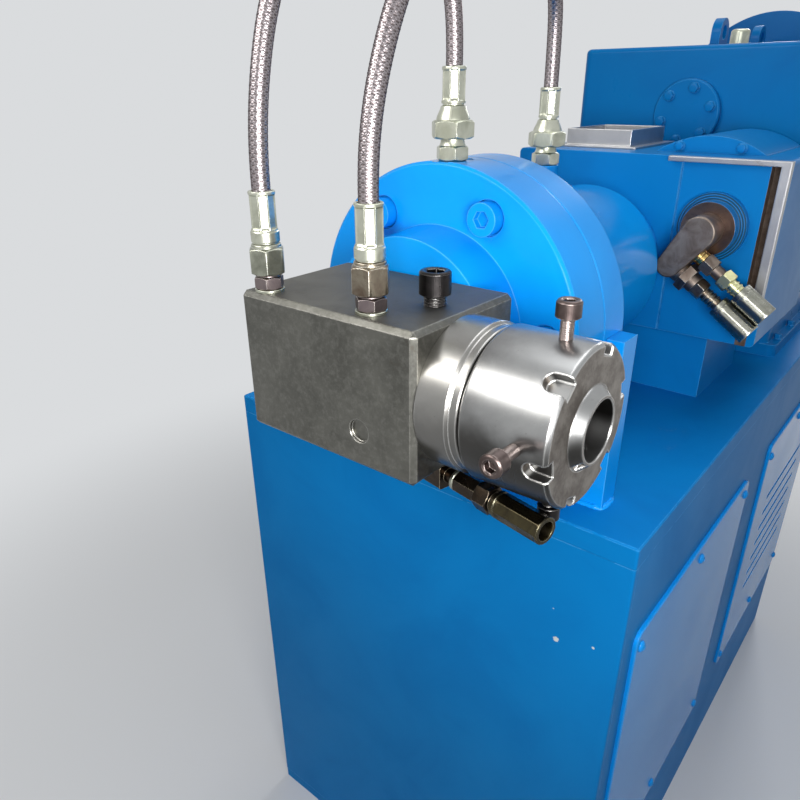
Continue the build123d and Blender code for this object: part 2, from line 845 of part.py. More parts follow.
# Feed section
feed_middle_x = (feed_right - feed_left) / 2
feed_middle_z = (feed_up - feed_down) / 2
feed_width = feed_left + feed_right
feed_height = feed_up + feed_down
throat_width = throat_left - throat_right
throat_x = barrel_x - (throat_left + throat_right) / 2
throat_y = wire_y + feed_face_from_wire + throat_inset + throat_length / 2
throat_top = Plane((throat_x, throat_y, axis_height + feed_up))
with BuildPart() as feed_housing:
    with BuildSketch(across_barrel(feed_face_from_wire, feed_middle_x, feed_middle_z)):
        Rectangle(feed_width, feed_height)
    extrude(amount=feed_length)
    fillet(feed_housing.edges().filter_by(Axis.Y), feed_edge)
    with BuildSketch(throat_top):
        Rectangle(throat_width, throat_length)
    extrude(amount=-throat_depth, mode=Mode.SUBTRACT)
    # A groove beside the bright frame, and the seam of the panel over the feed roll
    groove_top = feed_up - frame_top_strip
    groove_x = feed_right - frame_strip - frame_groove / 2
    with BuildSketch(facing_front(feed_face_from_wire, groove_x, (groove_top - frame_foot) / 2)):
        Rectangle(frame_groove, groove_top + frame_foot)
    extrude(amount=-frame_groove_depth, mode=Mode.SUBTRACT)
    with BuildSketch(facing_front(feed_face_from_wire, panel_seam_x, feed_middle_z)):
        Rectangle(panel_seam, feed_height)
    extrude(amount=-panel_seam, mode=Mode.SUBTRACT)
feed_housing.part.label = "feed_housing"
export_step(feed_housing.part, "parts/feed_housing.step")

with BuildPart() as feed_rim:
    with BuildSketch(throat_top):
        Rectangle(throat_width + 2 * rim_wall, throat_length + 2 * rim_wall)
        Rectangle(throat_width, throat_length, mode=Mode.SUBTRACT)
    extrude(amount=rim_height)
    with BuildSketch(throat_top):
        Rectangle(throat_width + 2 * rim_lip, throat_length + 2 * rim_lip)
        Rectangle(throat_width, throat_length, mode=Mode.SUBTRACT)
    extrude(amount=rim_wall)
feed_rim.part.label = "feed_rim"
export_step(feed_rim.part, "parts/feed_rim.step")

with BuildPart() as roll_case:
    with BuildSketch(across_barrel(feed_face_from_wire + case_inset, case_x, case_z)):
        Circle(case_radius)
        with Locations((0, feed_up - case_z - case_radius)):
            Rectangle(2 * case_radius, 2 * case_radius, mode=Mode.SUBTRACT)
    extrude(amount=feed_length - case_inset)
roll_case.part.label = "roll_case"
export_step(roll_case.part, "parts/roll_case.step")

with BuildPart() as feed_pedestal:
    with BuildSketch(Plane((barrel_x + feed_middle_x,
                            wire_y + feed_face_from_wire + feed_length / 2, base_top))):
        Rectangle(feed_foot_wide, feed_length - 2 * feed_foot_inset)
    extrude(amount=base_top_below_axis - feed_down)
feed_pedestal.part.label = "feed_pedestal"
export_step(feed_pedestal.part, "parts/feed_pedestal.step")

strip_middle_x = feed_right - frame_strip / 2
strip_length = feed_up + frame_foot
with BuildPart() as feed_frame:
    with BuildSketch(facing_front(feed_face_from_wire, strip_middle_x, feed_up - strip_length / 2)):
        Rectangle(frame_strip, strip_length)
    with BuildSketch(facing_front(feed_face_from_wire, (feed_right + frame_left) / 2,
                                  feed_up - frame_top_strip / 2)):
        Rectangle(feed_right - frame_left, frame_top_strip)
    extrude(amount=frame_thick)
feed_frame.part.label = "feed_frame"
export_step(feed_frame.part, "parts/feed_frame.step")

with BuildPart() as feed_roll_cap:
    with BuildSketch(facing_front(feed_face_from_wire, roll_x, roll_z)):
        Circle(cap_radius)
    extrude(amount=cap_thick)
    with BuildSketch(facing_front(feed_face_from_wire - cap_thick, roll_x, roll_z)):
        Circle(cap_step_radius)
    extrude(amount=cap_step_thick)
feed_roll_cap.part.label = "feed_roll_cap"
export_step(feed_roll_cap.part, "parts/feed_roll_cap.step")

# Rotary union on the roll cap: a cast body with an arm, and two outlets on the arm's side
union_angle = math.radians(union_turn)
union_out = (math.cos(union_angle), 0, -math.sin(union_angle))
union_down = (-math.sin(union_angle), 0, -math.cos(union_angle))
union_face = feed_face_from_wire - cap_thick - cap_step_thick
union_plane = Plane(
    origin=(barrel_x + roll_x, wire_y + union_face, axis_height + roll_z),
    x_dir=union_down,
    z_dir=(0, -1, 0),
)


def outlet_plane(along_arm, out=0.0):
    """A plane square to an outlet of the union, so far along its arm and so far out."""
    x = barrel_x + roll_x + along_arm * union_down[0] + out * union_out[0]
    z = axis_height + roll_z + along_arm * union_down[2] + out * union_out[2]
    spot = (x, wire_y + union_face - union_thick / 2, z)
    return Plane(origin=spot, x_dir=(0, 1, 0), z_dir=union_out)


with BuildPart() as rotary_union:
    with BuildSketch(union_plane):
        Circle(union_radius)
        with Locations((union_second_outlet, 0)):
            Circle(union_arm_radius)
        make_hull()
    extrude(amount=union_thick)
    fillet(rotary_union.faces().sort_by(Axis.Y)[0].edges(), collar_edge)
    with BuildSketch(outlet_plane(union_second_outlet)):
        Circle(outlet_radius)
    extrude(amount=outlet_end)
    with BuildSketch(outlet_plane(union_second_outlet, outlet_end)):
        RegularPolygon(outlet_flange_flats / 2, 6, major_radius=False)
    extrude(amount=outlet_flange_end - outlet_end)
    with BuildSketch(outlet_plane(union_second_outlet, outlet_flange_end)):
        Circle(outlet_neck_radius)
    extrude(amount=outlet_neck_end - outlet_flange_end)
rotary_union.part.label = "rotary_union"
export_step(rotary_union.part, "parts/rotary_union.step")

with BuildPart() as union_brass_adaptor:
    with BuildSketch(outlet_plane(union_first_outlet)):
        Circle(brass_radius)
    extrude(amount=brass_end)
    with BuildSketch(outlet_plane(union_first_outlet, brass_end)):
        RegularPolygon(brass_hex_flats / 2, 6, major_radius=False)
    extrude(amount=brass_hex_end - brass_end)
    with BuildSketch(outlet_plane(union_first_outlet, brass_hex_end)):
        Circle(brass_stub_radius)
    extrude(amount=brass_stub_end - brass_hex_end)
    with BuildSketch(union_plane):
        Circle(union_radius)
        with Locations((union_second_outlet, 0)):
            Circle(union_arm_radius)
        make_hull()
    extrude(amount=union_thick, mode=Mode.SUBTRACT)
union_brass_adaptor.part.label = "union_brass_adaptor"
export_step(union_brass_adaptor.part, "parts/union_brass_adaptor.step")

with BuildPart() as union_hose_ends:
    for along_arm, foot, ferrule, ferrule_end in (
        (union_first_outlet, brass_stub_end, first_ferrule_start, first_ferrule_end),
        (union_second_outlet, outlet_neck_end, second_ferrule_start, second_ferrule_end),
    ):
        neck = foot + union_nut_length
        with BuildSketch(outlet_plane(along_arm, foot)):
            RegularPolygon(union_nut_flats / 2, 6, major_radius=False)
        extrude(amount=union_nut_length)
        with BuildSketch(outlet_plane(along_arm, neck)):
            Circle(union_neck_radius)
        extrude(amount=ferrule - neck)
        with BuildSketch(outlet_plane(along_arm, ferrule)):
            Circle(union_ferrule_radius)
        extrude(amount=ferrule_end - ferrule)
        with BuildSketch(outlet_plane(along_arm, ferrule_end)):
            Circle(union_hose_bore)
        extrude(amount=-union_hose_depth, mode=Mode.SUBTRACT)
union_hose_ends.part.label = "union_hose_ends"
export_step(union_hose_ends.part, "parts/union_hose_ends.step")

with BuildPart() as lantern:
    with BuildSketch(across_barrel(feed_back_from_wire)):
        Circle(lantern_radius)
    extrude(amount=lantern_length)
lantern.part.label = "lantern"
export_step(lantern.part, "parts/lantern.step")

# Gearbox, in two halves with a bolted lip between them
gearbox_y = wire_y + (gearbox_front + gearbox_back) / 2
gearbox_width = 2 * gearbox_half_width
with BuildPart() as gearbox_housing:
    with BuildSketch(Plane((barrel_x, gearbox_y, base_top))):
        Rectangle(gearbox_width, gearbox_length)
    extrude(amount=base_top_below_axis)
    fillet(gearbox_housing.edges().filter_by(Axis.Z), gearbox_edge)
    with BuildSketch(Plane((barrel_x, gearbox_y, axis_height))):
        RectangleRounded(gearbox_width + 2 * gearbox_lip, gearbox_length, gearbox_edge)
    extrude(amount=-gearbox_lip_thick)
    with BuildSketch(Plane((barrel_x, gearbox_y, base_top))):
        RectangleRounded(gearbox_width + 2 * gearbox_lip, gearbox_length, gearbox_edge)
    extrude(amount=gearbox_foot)
gearbox_housing.part.label = "gearbox_housing"
export_step(gearbox_housing.part, "parts/gearbox_housing.step")

with BuildPart() as gearbox_cover:
    with BuildSketch(Plane((barrel_x, gearbox_y, axis_height))):
        Rectangle(gearbox_width, gearbox_length)
    extrude(amount=gearbox_height_above_axis)
    fillet(gearbox_cover.edges().filter_by(Axis.Z), gearbox_edge)
    fillet(gearbox_cover.faces().sort_by(Axis.Z)[-1].edges(), gearbox_edge / 2)
    with BuildSketch(Plane((barrel_x, gearbox_y, axis_height))):
        RectangleRounded(gearbox_width + 2 * gearbox_lip, gearbox_length, gearbox_edge)
    extrude(amount=gearbox_lip_thick)
    # Two cast eyes on top for lifting
    eye_height = axis_height + gearbox_height_above_axis
    with BuildSketch(Plane(origin=(barrel_x, gearbox_y, eye_height), x_dir=(0, 1, 0),
                           z_dir=(1, 0, 0)).offset(-eye_thick / 2)):
        with Locations((-eye_from_middle, eye_radius), (eye_from_middle, eye_radius)):
            Circle(eye_radius)
        with Locations((-eye_from_middle, 0), (eye_from_middle, 0)):
            Rectangle(2 * eye_radius, 2 * eye_radius)
        with Locations((-eye_from_middle, eye_radius), (eye_from_middle, eye_radius)):
            Circle(eye_bore, mode=Mode.SUBTRACT)
    extrude(amount=eye_thick)
gearbox_cover.part.label = "gearbox_cover"
export_step(gearbox_cover.part, "parts/gearbox_cover.step")

with BuildPart() as gearbox_breather:
    with BuildSketch(Plane((barrel_x, gearbox_y, eye_height))):
        RegularPolygon(breather_flats / 2, 6, major_radius=False)
    extrude(amount=breather_hex_height)
    with BuildSketch(Plane((barrel_x, gearbox_y, eye_height + breather_hex_height))):
        Circle(breather_radius)
    extrude(amount=breather_height)
    fillet(gearbox_breather.faces().sort_by(Axis.Z)[-1].edges(), breather_radius / 3)
gearbox_breather.part.label = "gearbox_breather"
export_step(gearbox_breather.part, "parts/gearbox_breather.step")

with BuildPart() as front_bearing_cap:
    with BuildSketch(facing_front(gearbox_front, 0, input_height)):
        Circle(bearing_cap_radius)
    extrude(amount=bearing_cap_thick)
    chamfer(front_bearing_cap.faces().sort_by(Axis.Y)[0].edges(), collar_edge)
front_bearing_cap.part.label = "front_bearing_cap"
export_step(front_bearing_cap.part, "parts/front_bearing_cap.step")

with BuildPart() as input_cap:
    with BuildSketch(across_barrel(gearbox_back, 0, input_height)):
        Circle(input_cap_radius)
    extrude(amount=input_cap_thick)
input_cap.part.label = "input_cap"
export_step(input_cap.part, "parts/input_cap.step")

# Belt guard behind the gearbox and the base
with BuildPart() as belt_guard:
    with BuildSketch(across_barrel(gearbox_back + input_cap_thick, 0, input_height)):
        Circle(guard_top_radius)
        with Locations((0, -guard_drop)):
            Circle(guard_bottom_radius)
        make_hull()
    extrude(amount=guard_thick)
    fillet(belt_guard.faces().sort_by(Axis.Y)[-1].edges(), guard_edge)
belt_guard.part.label = "belt_guard"
export_step(belt_guard.part, "parts/belt_guard.step")
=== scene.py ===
# %% [markdown]
# A wire extruder. Rubber is pushed along a flanged barrel into the crosshead block at its front,
# whose bore runs from left to right and ends in the die nut.
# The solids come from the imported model; this file gives them their finishes and adds the small
# things: braided hoses, threads, knurls, crimped hose ends, bolts, screws and weld beads.
# Everything is in metres, in the model's own frame: +Z up, the origin on the floor.

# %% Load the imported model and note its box
import math

import bpy
import numpy as np
from mathutils import Matrix, Vector


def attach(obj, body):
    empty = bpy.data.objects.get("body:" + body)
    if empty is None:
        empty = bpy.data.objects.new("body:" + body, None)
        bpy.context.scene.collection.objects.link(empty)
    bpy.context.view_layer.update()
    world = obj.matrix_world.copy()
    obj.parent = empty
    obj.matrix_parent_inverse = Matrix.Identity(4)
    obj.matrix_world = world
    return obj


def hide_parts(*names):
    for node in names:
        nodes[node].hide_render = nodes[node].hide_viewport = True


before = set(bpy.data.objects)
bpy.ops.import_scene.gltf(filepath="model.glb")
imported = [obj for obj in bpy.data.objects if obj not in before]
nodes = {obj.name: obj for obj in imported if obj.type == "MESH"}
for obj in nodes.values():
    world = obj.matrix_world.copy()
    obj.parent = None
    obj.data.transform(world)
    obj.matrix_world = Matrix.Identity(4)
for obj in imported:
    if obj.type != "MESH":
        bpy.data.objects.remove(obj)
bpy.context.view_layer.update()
scene = bpy.context.scene
scene.view_settings.view_transform = "Standard"

# %% [markdown]
# Three values place nearly everything: where the barrel's axis stands across the base, where the
# crosshead's bore crosses in front of it, and how high both are. Sizes below are typed in
# millimetres from that crossing, as they are on a drawing, and turned into metres in one place.

# %% Where the crosshead's bore crosses the barrel's axis
CROSSING = np.array([0.064, -0.667, 1.0])
MM = 0.001
X = np.array([1.0, 0.0, 0.0])
Y = np.array([0.0, 1.0, 0.0])
Z = np.array([0.0, 0.0, 1.0])


def spot(x, y, z):
    """The crossing point plus an offset in millimetres, as metres in the model's frame."""
    return CROSSING + np.array([x, y, z]) * MM


print("everything is placed from", CROSSING.tolist())

# %% [markdown]
# The camera comes first, so that the framing is settled before anything is judged. It stands in
# front of the die nut, a little above it and to the right, and looks down along the barrel.
# A camera looks along its own -Z with +Y up, so three perpendicular directions make its turn.
# A Track To constraint could point it too, but couldn't give it the slight roll.

# %% Camera
CAMERA_AT = (397.2, -415.6, 216.8)
CAMERA_AZIMUTH = 39.62
CAMERA_DOWN = 25.82
CAMERA_ROLL = 0.47
FOCAL_PIXELS = 685.6
PICTURE_SIDE = 800
CENTRE_BELOW = 18.3
SENSOR = 36.0

azimuth = math.radians(CAMERA_AZIMUTH)
down = math.radians(CAMERA_DOWN)
forward = Vector((-math.sin(azimuth) * math.cos(down), math.cos(azimuth) * math.cos(down),
                  -math.sin(down)))
level_right = forward.cross(Vector((0, 0, 1))).normalized()
level_down = forward.cross(level_right)
roll = math.radians(CAMERA_ROLL)
right = math.cos(roll) * level_right + math.sin(roll) * level_down
lower = -math.sin(roll) * level_right + math.cos(roll) * level_down

lens = bpy.data.cameras.new("camera")
lens.sensor_width = SENSOR
lens.lens = FOCAL_PIXELS / PICTURE_SIDE * SENSOR
lens.shift_y = CENTRE_BELOW / PICTURE_SIDE
lens.clip_start = 0.02
lens.clip_end = 60
camera = bpy.data.objects.new("camera", lens)
scene.collection.objects.link(camera)
turn = Matrix((right, -lower, -forward)).transposed()
camera.matrix_world = Matrix.Translation(spot(*CAMERA_AT)) @ turn.to_4x4()
scene.camera = camera
print("camera at", tuple(round(number, 3) for number in camera.location),
      "with a lens of", round(lens.lens, 2), "mm")

# %% [markdown]
# Both braided hoses are jumpers that carry warm water: each leaves the top of the block and comes
# back down into a port on the machine. Such a hose is stiff, so it stands in one smooth arch.
# A swept mesh could show it as well, but a curve needs only a few points and can be measured.
# The route's points are control points of a NURBS curve, which passes inside the corners; order 3
# and use_endpoint_u are set after the points are there, or Blender falls back to straight runs.

# %% Hose routes and their cores
CORE_RADIUS = 0.0069
LEFT_ROUTE = [
    (-52, -44.5, 143), (-52, -44.5, 172), (-50.4, -38.6, 221.6), (-47.6, -26.5, 271),
    (-42.7, -6, 316), (-34, 26, 346), (-22.8, 64.4, 357), (-11.7, 102.6, 345),
    (-3.6, 131, 315), (0, 144, 276), (0, 144, 233),
]
RIGHT_ROUTE = [
    (58, -39, 143), (58, -39, 170), (58, -30, 215), (59, -10, 265), (58.5, 22, 311),
    (55, 65, 345), (48, 116, 362), (39, 170, 363), (28, 222, 352), (16, 272, 330),
    (5, 311, 300), (0, 325, 260), (0, 325, 215),
]


def hose_core(name, route):
    """A NURBS curve through the route's control points, with a round section for the inner tube."""
    curve = bpy.data.curves.new(name, "CURVE")
    curve.dimensions = "3D"
    line = curve.splines.new("NURBS")
    line.points.add(len(route) - 1)
    for point, place in zip(line.points, route):
        point.co = (*spot(*place), 1.0)
    line.order_u = 3
    line.use_endpoint_u = True
    line.resolution_u = 16
    core = bpy.data.objects.new(name, curve)
    scene.collection.objects.link(core)
    return core


def centre_line(core):
    """The points that the curve draws when it has no thickness, read back as an array."""
    bpy.context.view_layer.update()
    evaluated = core.evaluated_get(bpy.context.evaluated_depsgraph_get())
    mesh = bpy.data.meshes.new_from_object(evaluated)
    line = np.empty(len(mesh.vertices) * 3)
    mesh.vertices.foreach_get("co", line)
    bpy.data.meshes.remove(mesh)
    return line.reshape(-1, 3)


left_core = hose_core("left_hose_core", LEFT_ROUTE)
right_core = hose_core("right_hose_core", RIGHT_ROUTE)
left_line = centre_line(left_core)
right_line = centre_line(right_core)


def line_length(line):
    """The sum of the steps between neighbouring points."""
    return float(np.linalg.norm(np.diff(line, axis=0), axis=1).sum())


for core in (left_core, right_core):
    core.data.bevel_depth = CORE_RADIUS
    core.data.bevel_resolution = 5
    core.data.use_fill_caps = True
print("hose lengths", round(line_length(left_line), 3), round(line_length(right_line), 3))

# %% [markdown]
# Most of what is added here is a surface on a grid: one direction goes round, the other goes
# along a profile. Primitives and modifiers could build the same parts, but as arrays every size
# stands in one row of numbers. One helper puts such surfaces into a mesh, checks that the faces
# point outwards by the sign of the volume they enclose, and marks the sharp edges.

# %% From arrays to a piece
SHARP = math.radians(32)


def enclosed(points, faces):
    """Six times the volume under a closed surface: the triple products of its fan triangles."""
    total = 0.0
    for size in {len(face) for face in faces}:
        corners = points[np.array([face for face in faces if len(face) == size])]
        for second in range(1, size - 1):
            cross = np.cross(corners[:, second], corners[:, second + 1])
            total += float((corners[:, 0] * cross).sum())
    return total


def piece(name, surfaces, material, hides=()):
    """Joins closed surfaces, each (points, faces), into one object that rides on the machine."""
    points, faces, start = [], [], 0
    for surface_points, surface_faces in surfaces:
        around = surface_points - surface_points.mean(0)
        flip = enclosed(around, surface_faces) < 0
        faces += [tuple(index + start for index in (reversed(face) if flip else face))
                  for face in surface_faces]
        points.append(surface_points)
        start += len(surface_points)
    mesh = bpy.data.meshes.new(name)
    mesh.from_pydata(np.vstack(points).tolist(), [], faces)
    mesh.shade_smooth()
    mesh.set_sharp_from_angle(angle=SHARP)
    mesh.materials.append(material)
    made = bpy.data.objects.new(name, mesh)
    scene.collection.objects.link(made)
    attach(made, "root")
    if hides:
        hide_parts(*hides)
    print(name, len(faces), "faces")


def square_to(along):
    """Two unit directions across a line, the first as near to +X as it can be, or else to +Y."""
    start = X if abs(along @ X) < 0.9 else Y
    first = start - along * (start @ along)
    first = first / np.linalg.norm(first)
    return first, np.cross(along, first)


# %% [markdown]
# Hose ends, nuts and screws are all turned or six-sided. A row of the profile is a height, a
# radius and a width across flats. Where the flats aren't 0, the radius is cut down to the
# hexagon's, so a cone that runs past the corners leaves the curved chamfer that a real nut has.
# Cutting nuts with booleans would leave ragged faces; the formula gives clean ones.

# %% Turned and six-sided surfaces
def turned(foot, along, rows, columns=48, shapes=(), clock=0.0):
    """A surface over angle and row: foot + height * along + radius * (cosine of the angle * first
    direction + sine * second), where a row's radius is at most half its flats over the cosine of
    the angle from the middle of a flat. The shapes change the radius, and both poles are closed.
    """
    heights, radii, flats = (np.array(rows, float) * MM).T
    angle = 2 * np.pi * np.arange(columns) / columns
    fold = np.mod(angle, np.pi / 3) - np.pi / 6
    hexagon = np.where(flats[:, None] > 0, flats[:, None] / 2 / np.cos(fold), 1.0)
    radius = np.minimum(radii[:, None], hexagon)
    for shape in shapes:
        radius = shape(radius, angle[None, :], heights[:, None])
    first, second = square_to(along)
    ring = np.cos(angle + clock)[:, None] * first + np.sin(angle + clock)[:, None] * second
    points = foot + heights[:, None, None] * along + radius[..., None] * ring
    points = points.reshape(-1, 3)
    row = np.arange(len(rows) - 1)[:, None] * columns
    column = np.arange(columns)
    following = (column + 1) % columns
    quads = np.stack([row + column, row + following, row + columns + following,
                      row + columns + column], -1).reshape(-1, 4)
    faces = [tuple(quad) for quad in quads.tolist()]
    last = (len(rows) - 1) * columns
    ends = np.array([foot + heights[0] * along, foot + heights[-1] * along])
    bottom, top = len(points), len(points) + 1
    faces += [(bottom, int(b), int(a)) for a, b in zip(column, following)]
    faces += [(top, int(last + a), int(last + b)) for a, b in zip(column, following)]
    return np.vstack([points, ends]), faces


def six_sided(foot, top, flats, share=0.95):
    """Rows of a nut: a cone of 30 degrees at both ends meets the six flats in curved edges."""
    corner = flats / 2 / math.cos(math.pi / 6)
    inner = flats / 2 * share
    rise = (corner - inner) * math.tan(math.pi / 6)
    steps = np.linspace(0, 1, 5)
    up = [(foot + rise * t, inner + (corner - inner) * t, flats) for t in steps]
    back = [(top - rise * t, inner + (corner - inner) * t, flats) for t in steps[::-1]]
    return up + back


def between(low, high, radius, step):
    """Many rows at one radius, for a stretch that gets a thread, a knurl or crimps."""
    count = int(math.ceil((high - low) / step)) + 1
    return [(height, radius, 0) for height in np.linspace(low, high, count)]


# %% [markdown]
# A thread, a knurl and the flats of a crimping die could be left to bump, but they show in the
# outline, so they are cut into the surface. Each is a function that takes the radius, the angle
# and the height of all points at once and gives back a new radius.

# %% Threads, knurls and crimps
def thread(low, high, pitch, depth):
    """A helical groove: the cut is a triangle wave of height over pitch less the turn."""
    def shape(radius, angle, height):
        turns = np.mod(height / (pitch * MM) - angle / (2 * np.pi), 1.0)
        inside = (height >= low * MM) & (height <= high * MM)
        return radius - inside * depth * MM * np.abs(2 * turns - 1)
    return shape


def ribbed(low, high, count, depth):
    """Grooves along a round surface: the size of a cosine of half the count times the angle."""
    def shape(radius, angle, height):
        inside = (height >= low * MM) & (height <= high * MM)
        wave = np.abs(np.cos(count * angle / 2))
        return radius - inside * depth * MM * wave
    return shape


RIDGE_WIDTH = 0.06
CRIMP_RUN_IN = 1.6


def crimped(low, high, across, jaws=8, proud=0.62):
    """Flats of a crimping die: a polygon, plus a thin ridge where two of its jaws met."""
    def shape(radius, angle, height):
        fold = np.mod(angle, 2 * np.pi / jaws) - np.pi / jaws
        ridge = proud * np.exp(-((np.abs(fold) - np.pi / jaws) / RIDGE_WIDTH) ** 2)
        flat = np.minimum(radius, (across / 2 / np.cos(fold) + ridge) * MM)
        into = np.clip(np.minimum(height / MM - low, high - height / MM) / CRIMP_RUN_IN, 0, 1)
        share = into * into * (3 - 2 * into)
        return radius * (1 - share) + flat * share
    return shape


# %% [markdown]
# Finishes are shader node groups with plain sockets, each built once and placed in the materials
# with its own values. Wiring nodes by hand is wordy, so two short helpers add a node or a sum.

# %% Helpers that wire nodes
def add(tree, kind, outlet=0, settings=None, **values):
    """Adds a node and gives back one of its outputs. A key is an input's label, or _ and its
    number, and its value is a number, a tuple or another node's output.
    """
    made = tree.nodes.new(kind)
    for key, value in (settings or {}).items():
        setattr(made, key, value)
    for key, value in values.items():
        socket = made.inputs[int(key[1:])] if key[0] == "_" else made.inputs[key.replace("_", " ")]
        if isinstance(value, bpy.types.NodeSocket):
            tree.links.new(value, socket)
        else:
            socket.default_value = value
    return made.outputs[outlet]


def calc(tree, operation, *values, clamp=False):
    """A Math node: operation on one, two or three numbers or sockets."""
    inputs = {f"_{place}": value for place, value in enumerate(values)}
    return add(tree, "ShaderNodeMath", 0, {"operation": operation, "use_clamp": clamp}, **inputs)


def ramp(tree, value, low, high, start=0.0, end=1.0):
    """A Map Range node with smooth ends: low and high of the value become start and end."""
    return add(tree, "ShaderNodeMapRange", 0, {"interpolation_type": "SMOOTHSTEP"},
               Value=value, From_Min=low, From_Max=high, To_Min=start, To_Max=end)


def mixed(tree, share, first, second):
    """A colour Mix node. Its colour sockets are inputs 6 and 7, and its result is output 2."""
    return add(tree, "ShaderNodeMix", 2, {"data_type": "RGBA"}, _0=share, _6=first, _7=second)


def noise(tree, place, scale, detail=4.0, roughness=0.55, distortion=0.0):
    """A Noise Texture's value at this place."""
    return add(tree, "ShaderNodeTexNoise", 0, None, Vector=place, Scale=scale, Detail=detail,
               Roughness=roughness, Distortion=distortion)


# %% [markdown]
# Some finishes depend on where a point is or which way it faces: oil lies on top, dirt collects
# underneath, and there is a stain round one screw. Masks could be painted by hand for that, but
# here they are worked out from the object's own coordinates and its normal, so they stay right
# when a shape changes and don't slide when the camera moves.

# %% Helpers that ask where a point is
def part_of(tree, vector, axis):
    """One number of a vector: 0, 1 or 2 stands for X, Y or Z."""
    return add(tree, "ShaderNodeSeparateXYZ", axis, None, Vector=vector)


def facing(tree, axis):
    """How much the surface faces along an axis: that number of its normal."""
    return part_of(tree, add(tree, "ShaderNodeNewGeometry", 1), axis)


def distance(tree, place, point):
    """How far the place is from a point."""
    return add(tree, "ShaderNodeVectorMath", 1, {"operation": "DISTANCE"}, _0=place, _1=point)


def stretched(tree, place, scales):
    """The place multiplied along X, Y and Z, so that a noise on it turns into streaks."""
    return add(tree, "ShaderNodeMapping", 0, None, Vector=place, Scale=scales)


def in_box(tree, place, low, high):
    """1 inside a box and 0 outside: the product of six comparisons, two for each direction."""
    inside = None
    for axis in range(3):
        value = part_of(tree, place, axis)
        pair = calc(tree, "MULTIPLY", calc(tree, "GREATER_THAN", value, float(low[axis])),
                    calc(tree, "LESS_THAN", value, float(high[axis])))
        inside = pair if inside is None else calc(tree, "MULTIPLY", inside, pair)
    return inside


# %% [markdown]
# An effect that several materials share is made once, as a group. It works like a function: it
# has named inputs, and each material that places it gives them its own values.

# %% Start a node group
def new_group(name, numbers, results):
    """A node group with number inputs (name, default) and results (name, socket kind)."""
    tree = bpy.data.node_groups.new(name, "ShaderNodeTree")
    tree.interface.new_socket("Place", in_out="INPUT", socket_type="NodeSocketVector")
    for label, value in numbers:
        socket = tree.interface.new_socket(label, in_out="INPUT", socket_type="NodeSocketFloat")
        socket.default_value = value
    for label, kind in results:
        tree.interface.new_socket(label, in_out="OUTPUT", socket_type=kind)
    return tree, tree.nodes.new("NodeGroupInput").outputs, tree.nodes.new("NodeGroupOutput").inputs


# %% [markdown]
# Edges are where paint rubs off and bare metal shines; on the blue paint the same mask carries a
# painted highlight instead. A Bevel node gives the normal of an edge as if it were rounded; where
# it leaves the surface's own normal, the point is near an edge. A noise breaks the line up, so that
# the wear isn't a drawn outline.

# %% Worn edges, and highlights painted on paint
edge_tree, edge_in, edge_out = new_group(
    "worn_and_highlit_edges", [("Width", 0.002), ("Amount", 0.5), ("Scale", 90.0)],
    [("Mask", "NodeSocketFloat"), ("Rounded", "NodeSocketVector")])
rounded = add(edge_tree, "ShaderNodeBevel", 0, {"samples": 6}, Radius=edge_in["Width"])
own_normal = add(edge_tree, "ShaderNodeNewGeometry", 1)
agreement = add(edge_tree, "ShaderNodeVectorMath", 1, {"operation": "DOT_PRODUCT"},
                _0=rounded, _1=own_normal)
nearness = ramp(edge_tree, agreement, 0.995, 0.86)
broken = noise(edge_tree, edge_in["Place"], edge_in["Scale"], 5.0, 0.65)
keep = calc(edge_tree, "SUBTRACT", 1.0, edge_in["Amount"])
patchy = calc(edge_tree, "SUBTRACT", calc(edge_tree, "ADD", broken, 0.35), keep)
shown = calc(edge_tree, "MULTIPLY", nearness, ramp(edge_tree, patchy, 0.0, 0.12), clamp=True)
edge_tree.links.new(shown, edge_out["Mask"])
edge_tree.links.new(rounded, edge_out["Rounded"])
print(edge_tree.name, "has", len(edge_tree.nodes), "nodes")

# %% [markdown]
# Dirt gathers in patches and in specks. An image could hold it, but would repeat or blur on so
# large a machine. Two noises of very different size give both: the large one says where it is
# dirty at all, the small one gives the grain.

# %% Grime
grime_tree, grime_in, grime_out = new_group(
    "grime", [("Patch", 9.0), ("Grain", 160.0), ("Amount", 0.5)],
    [("Mask", "NodeSocketFloat"), ("Cloud", "NodeSocketFloat")])
cloud = noise(grime_tree, grime_in["Place"], grime_in["Patch"], 6.0, 0.6, 0.6)
grain = noise(grime_tree, grime_in["Place"], grime_in["Grain"], 3.0, 0.6)
gathered = calc(grime_tree, "ADD", cloud, calc(grime_tree, "MULTIPLY", grain, 0.3))
limit = calc(grime_tree, "SUBTRACT", 0.95, calc(grime_tree, "MULTIPLY", grime_in["Amount"], 0.4))
dirty = ramp(grime_tree, calc(grime_tree, "SUBTRACT", gathered, limit), 0.0, 0.14)
grime_tree.links.new(dirty, grime_out["Mask"])
grime_tree.links.new(cloud, grime_out["Cloud"])
print(grime_tree.name, "has", len(grime_tree.nodes), "nodes")

# %% [markdown]
# A cutter leaves fine marks in the direction that it moved. They are far too fine for geometry,
# so they are a bump: a noise that is squeezed hard across the marks and hardly along them. The
# direction is given as three scales, so one group serves milled faces and turned rings.

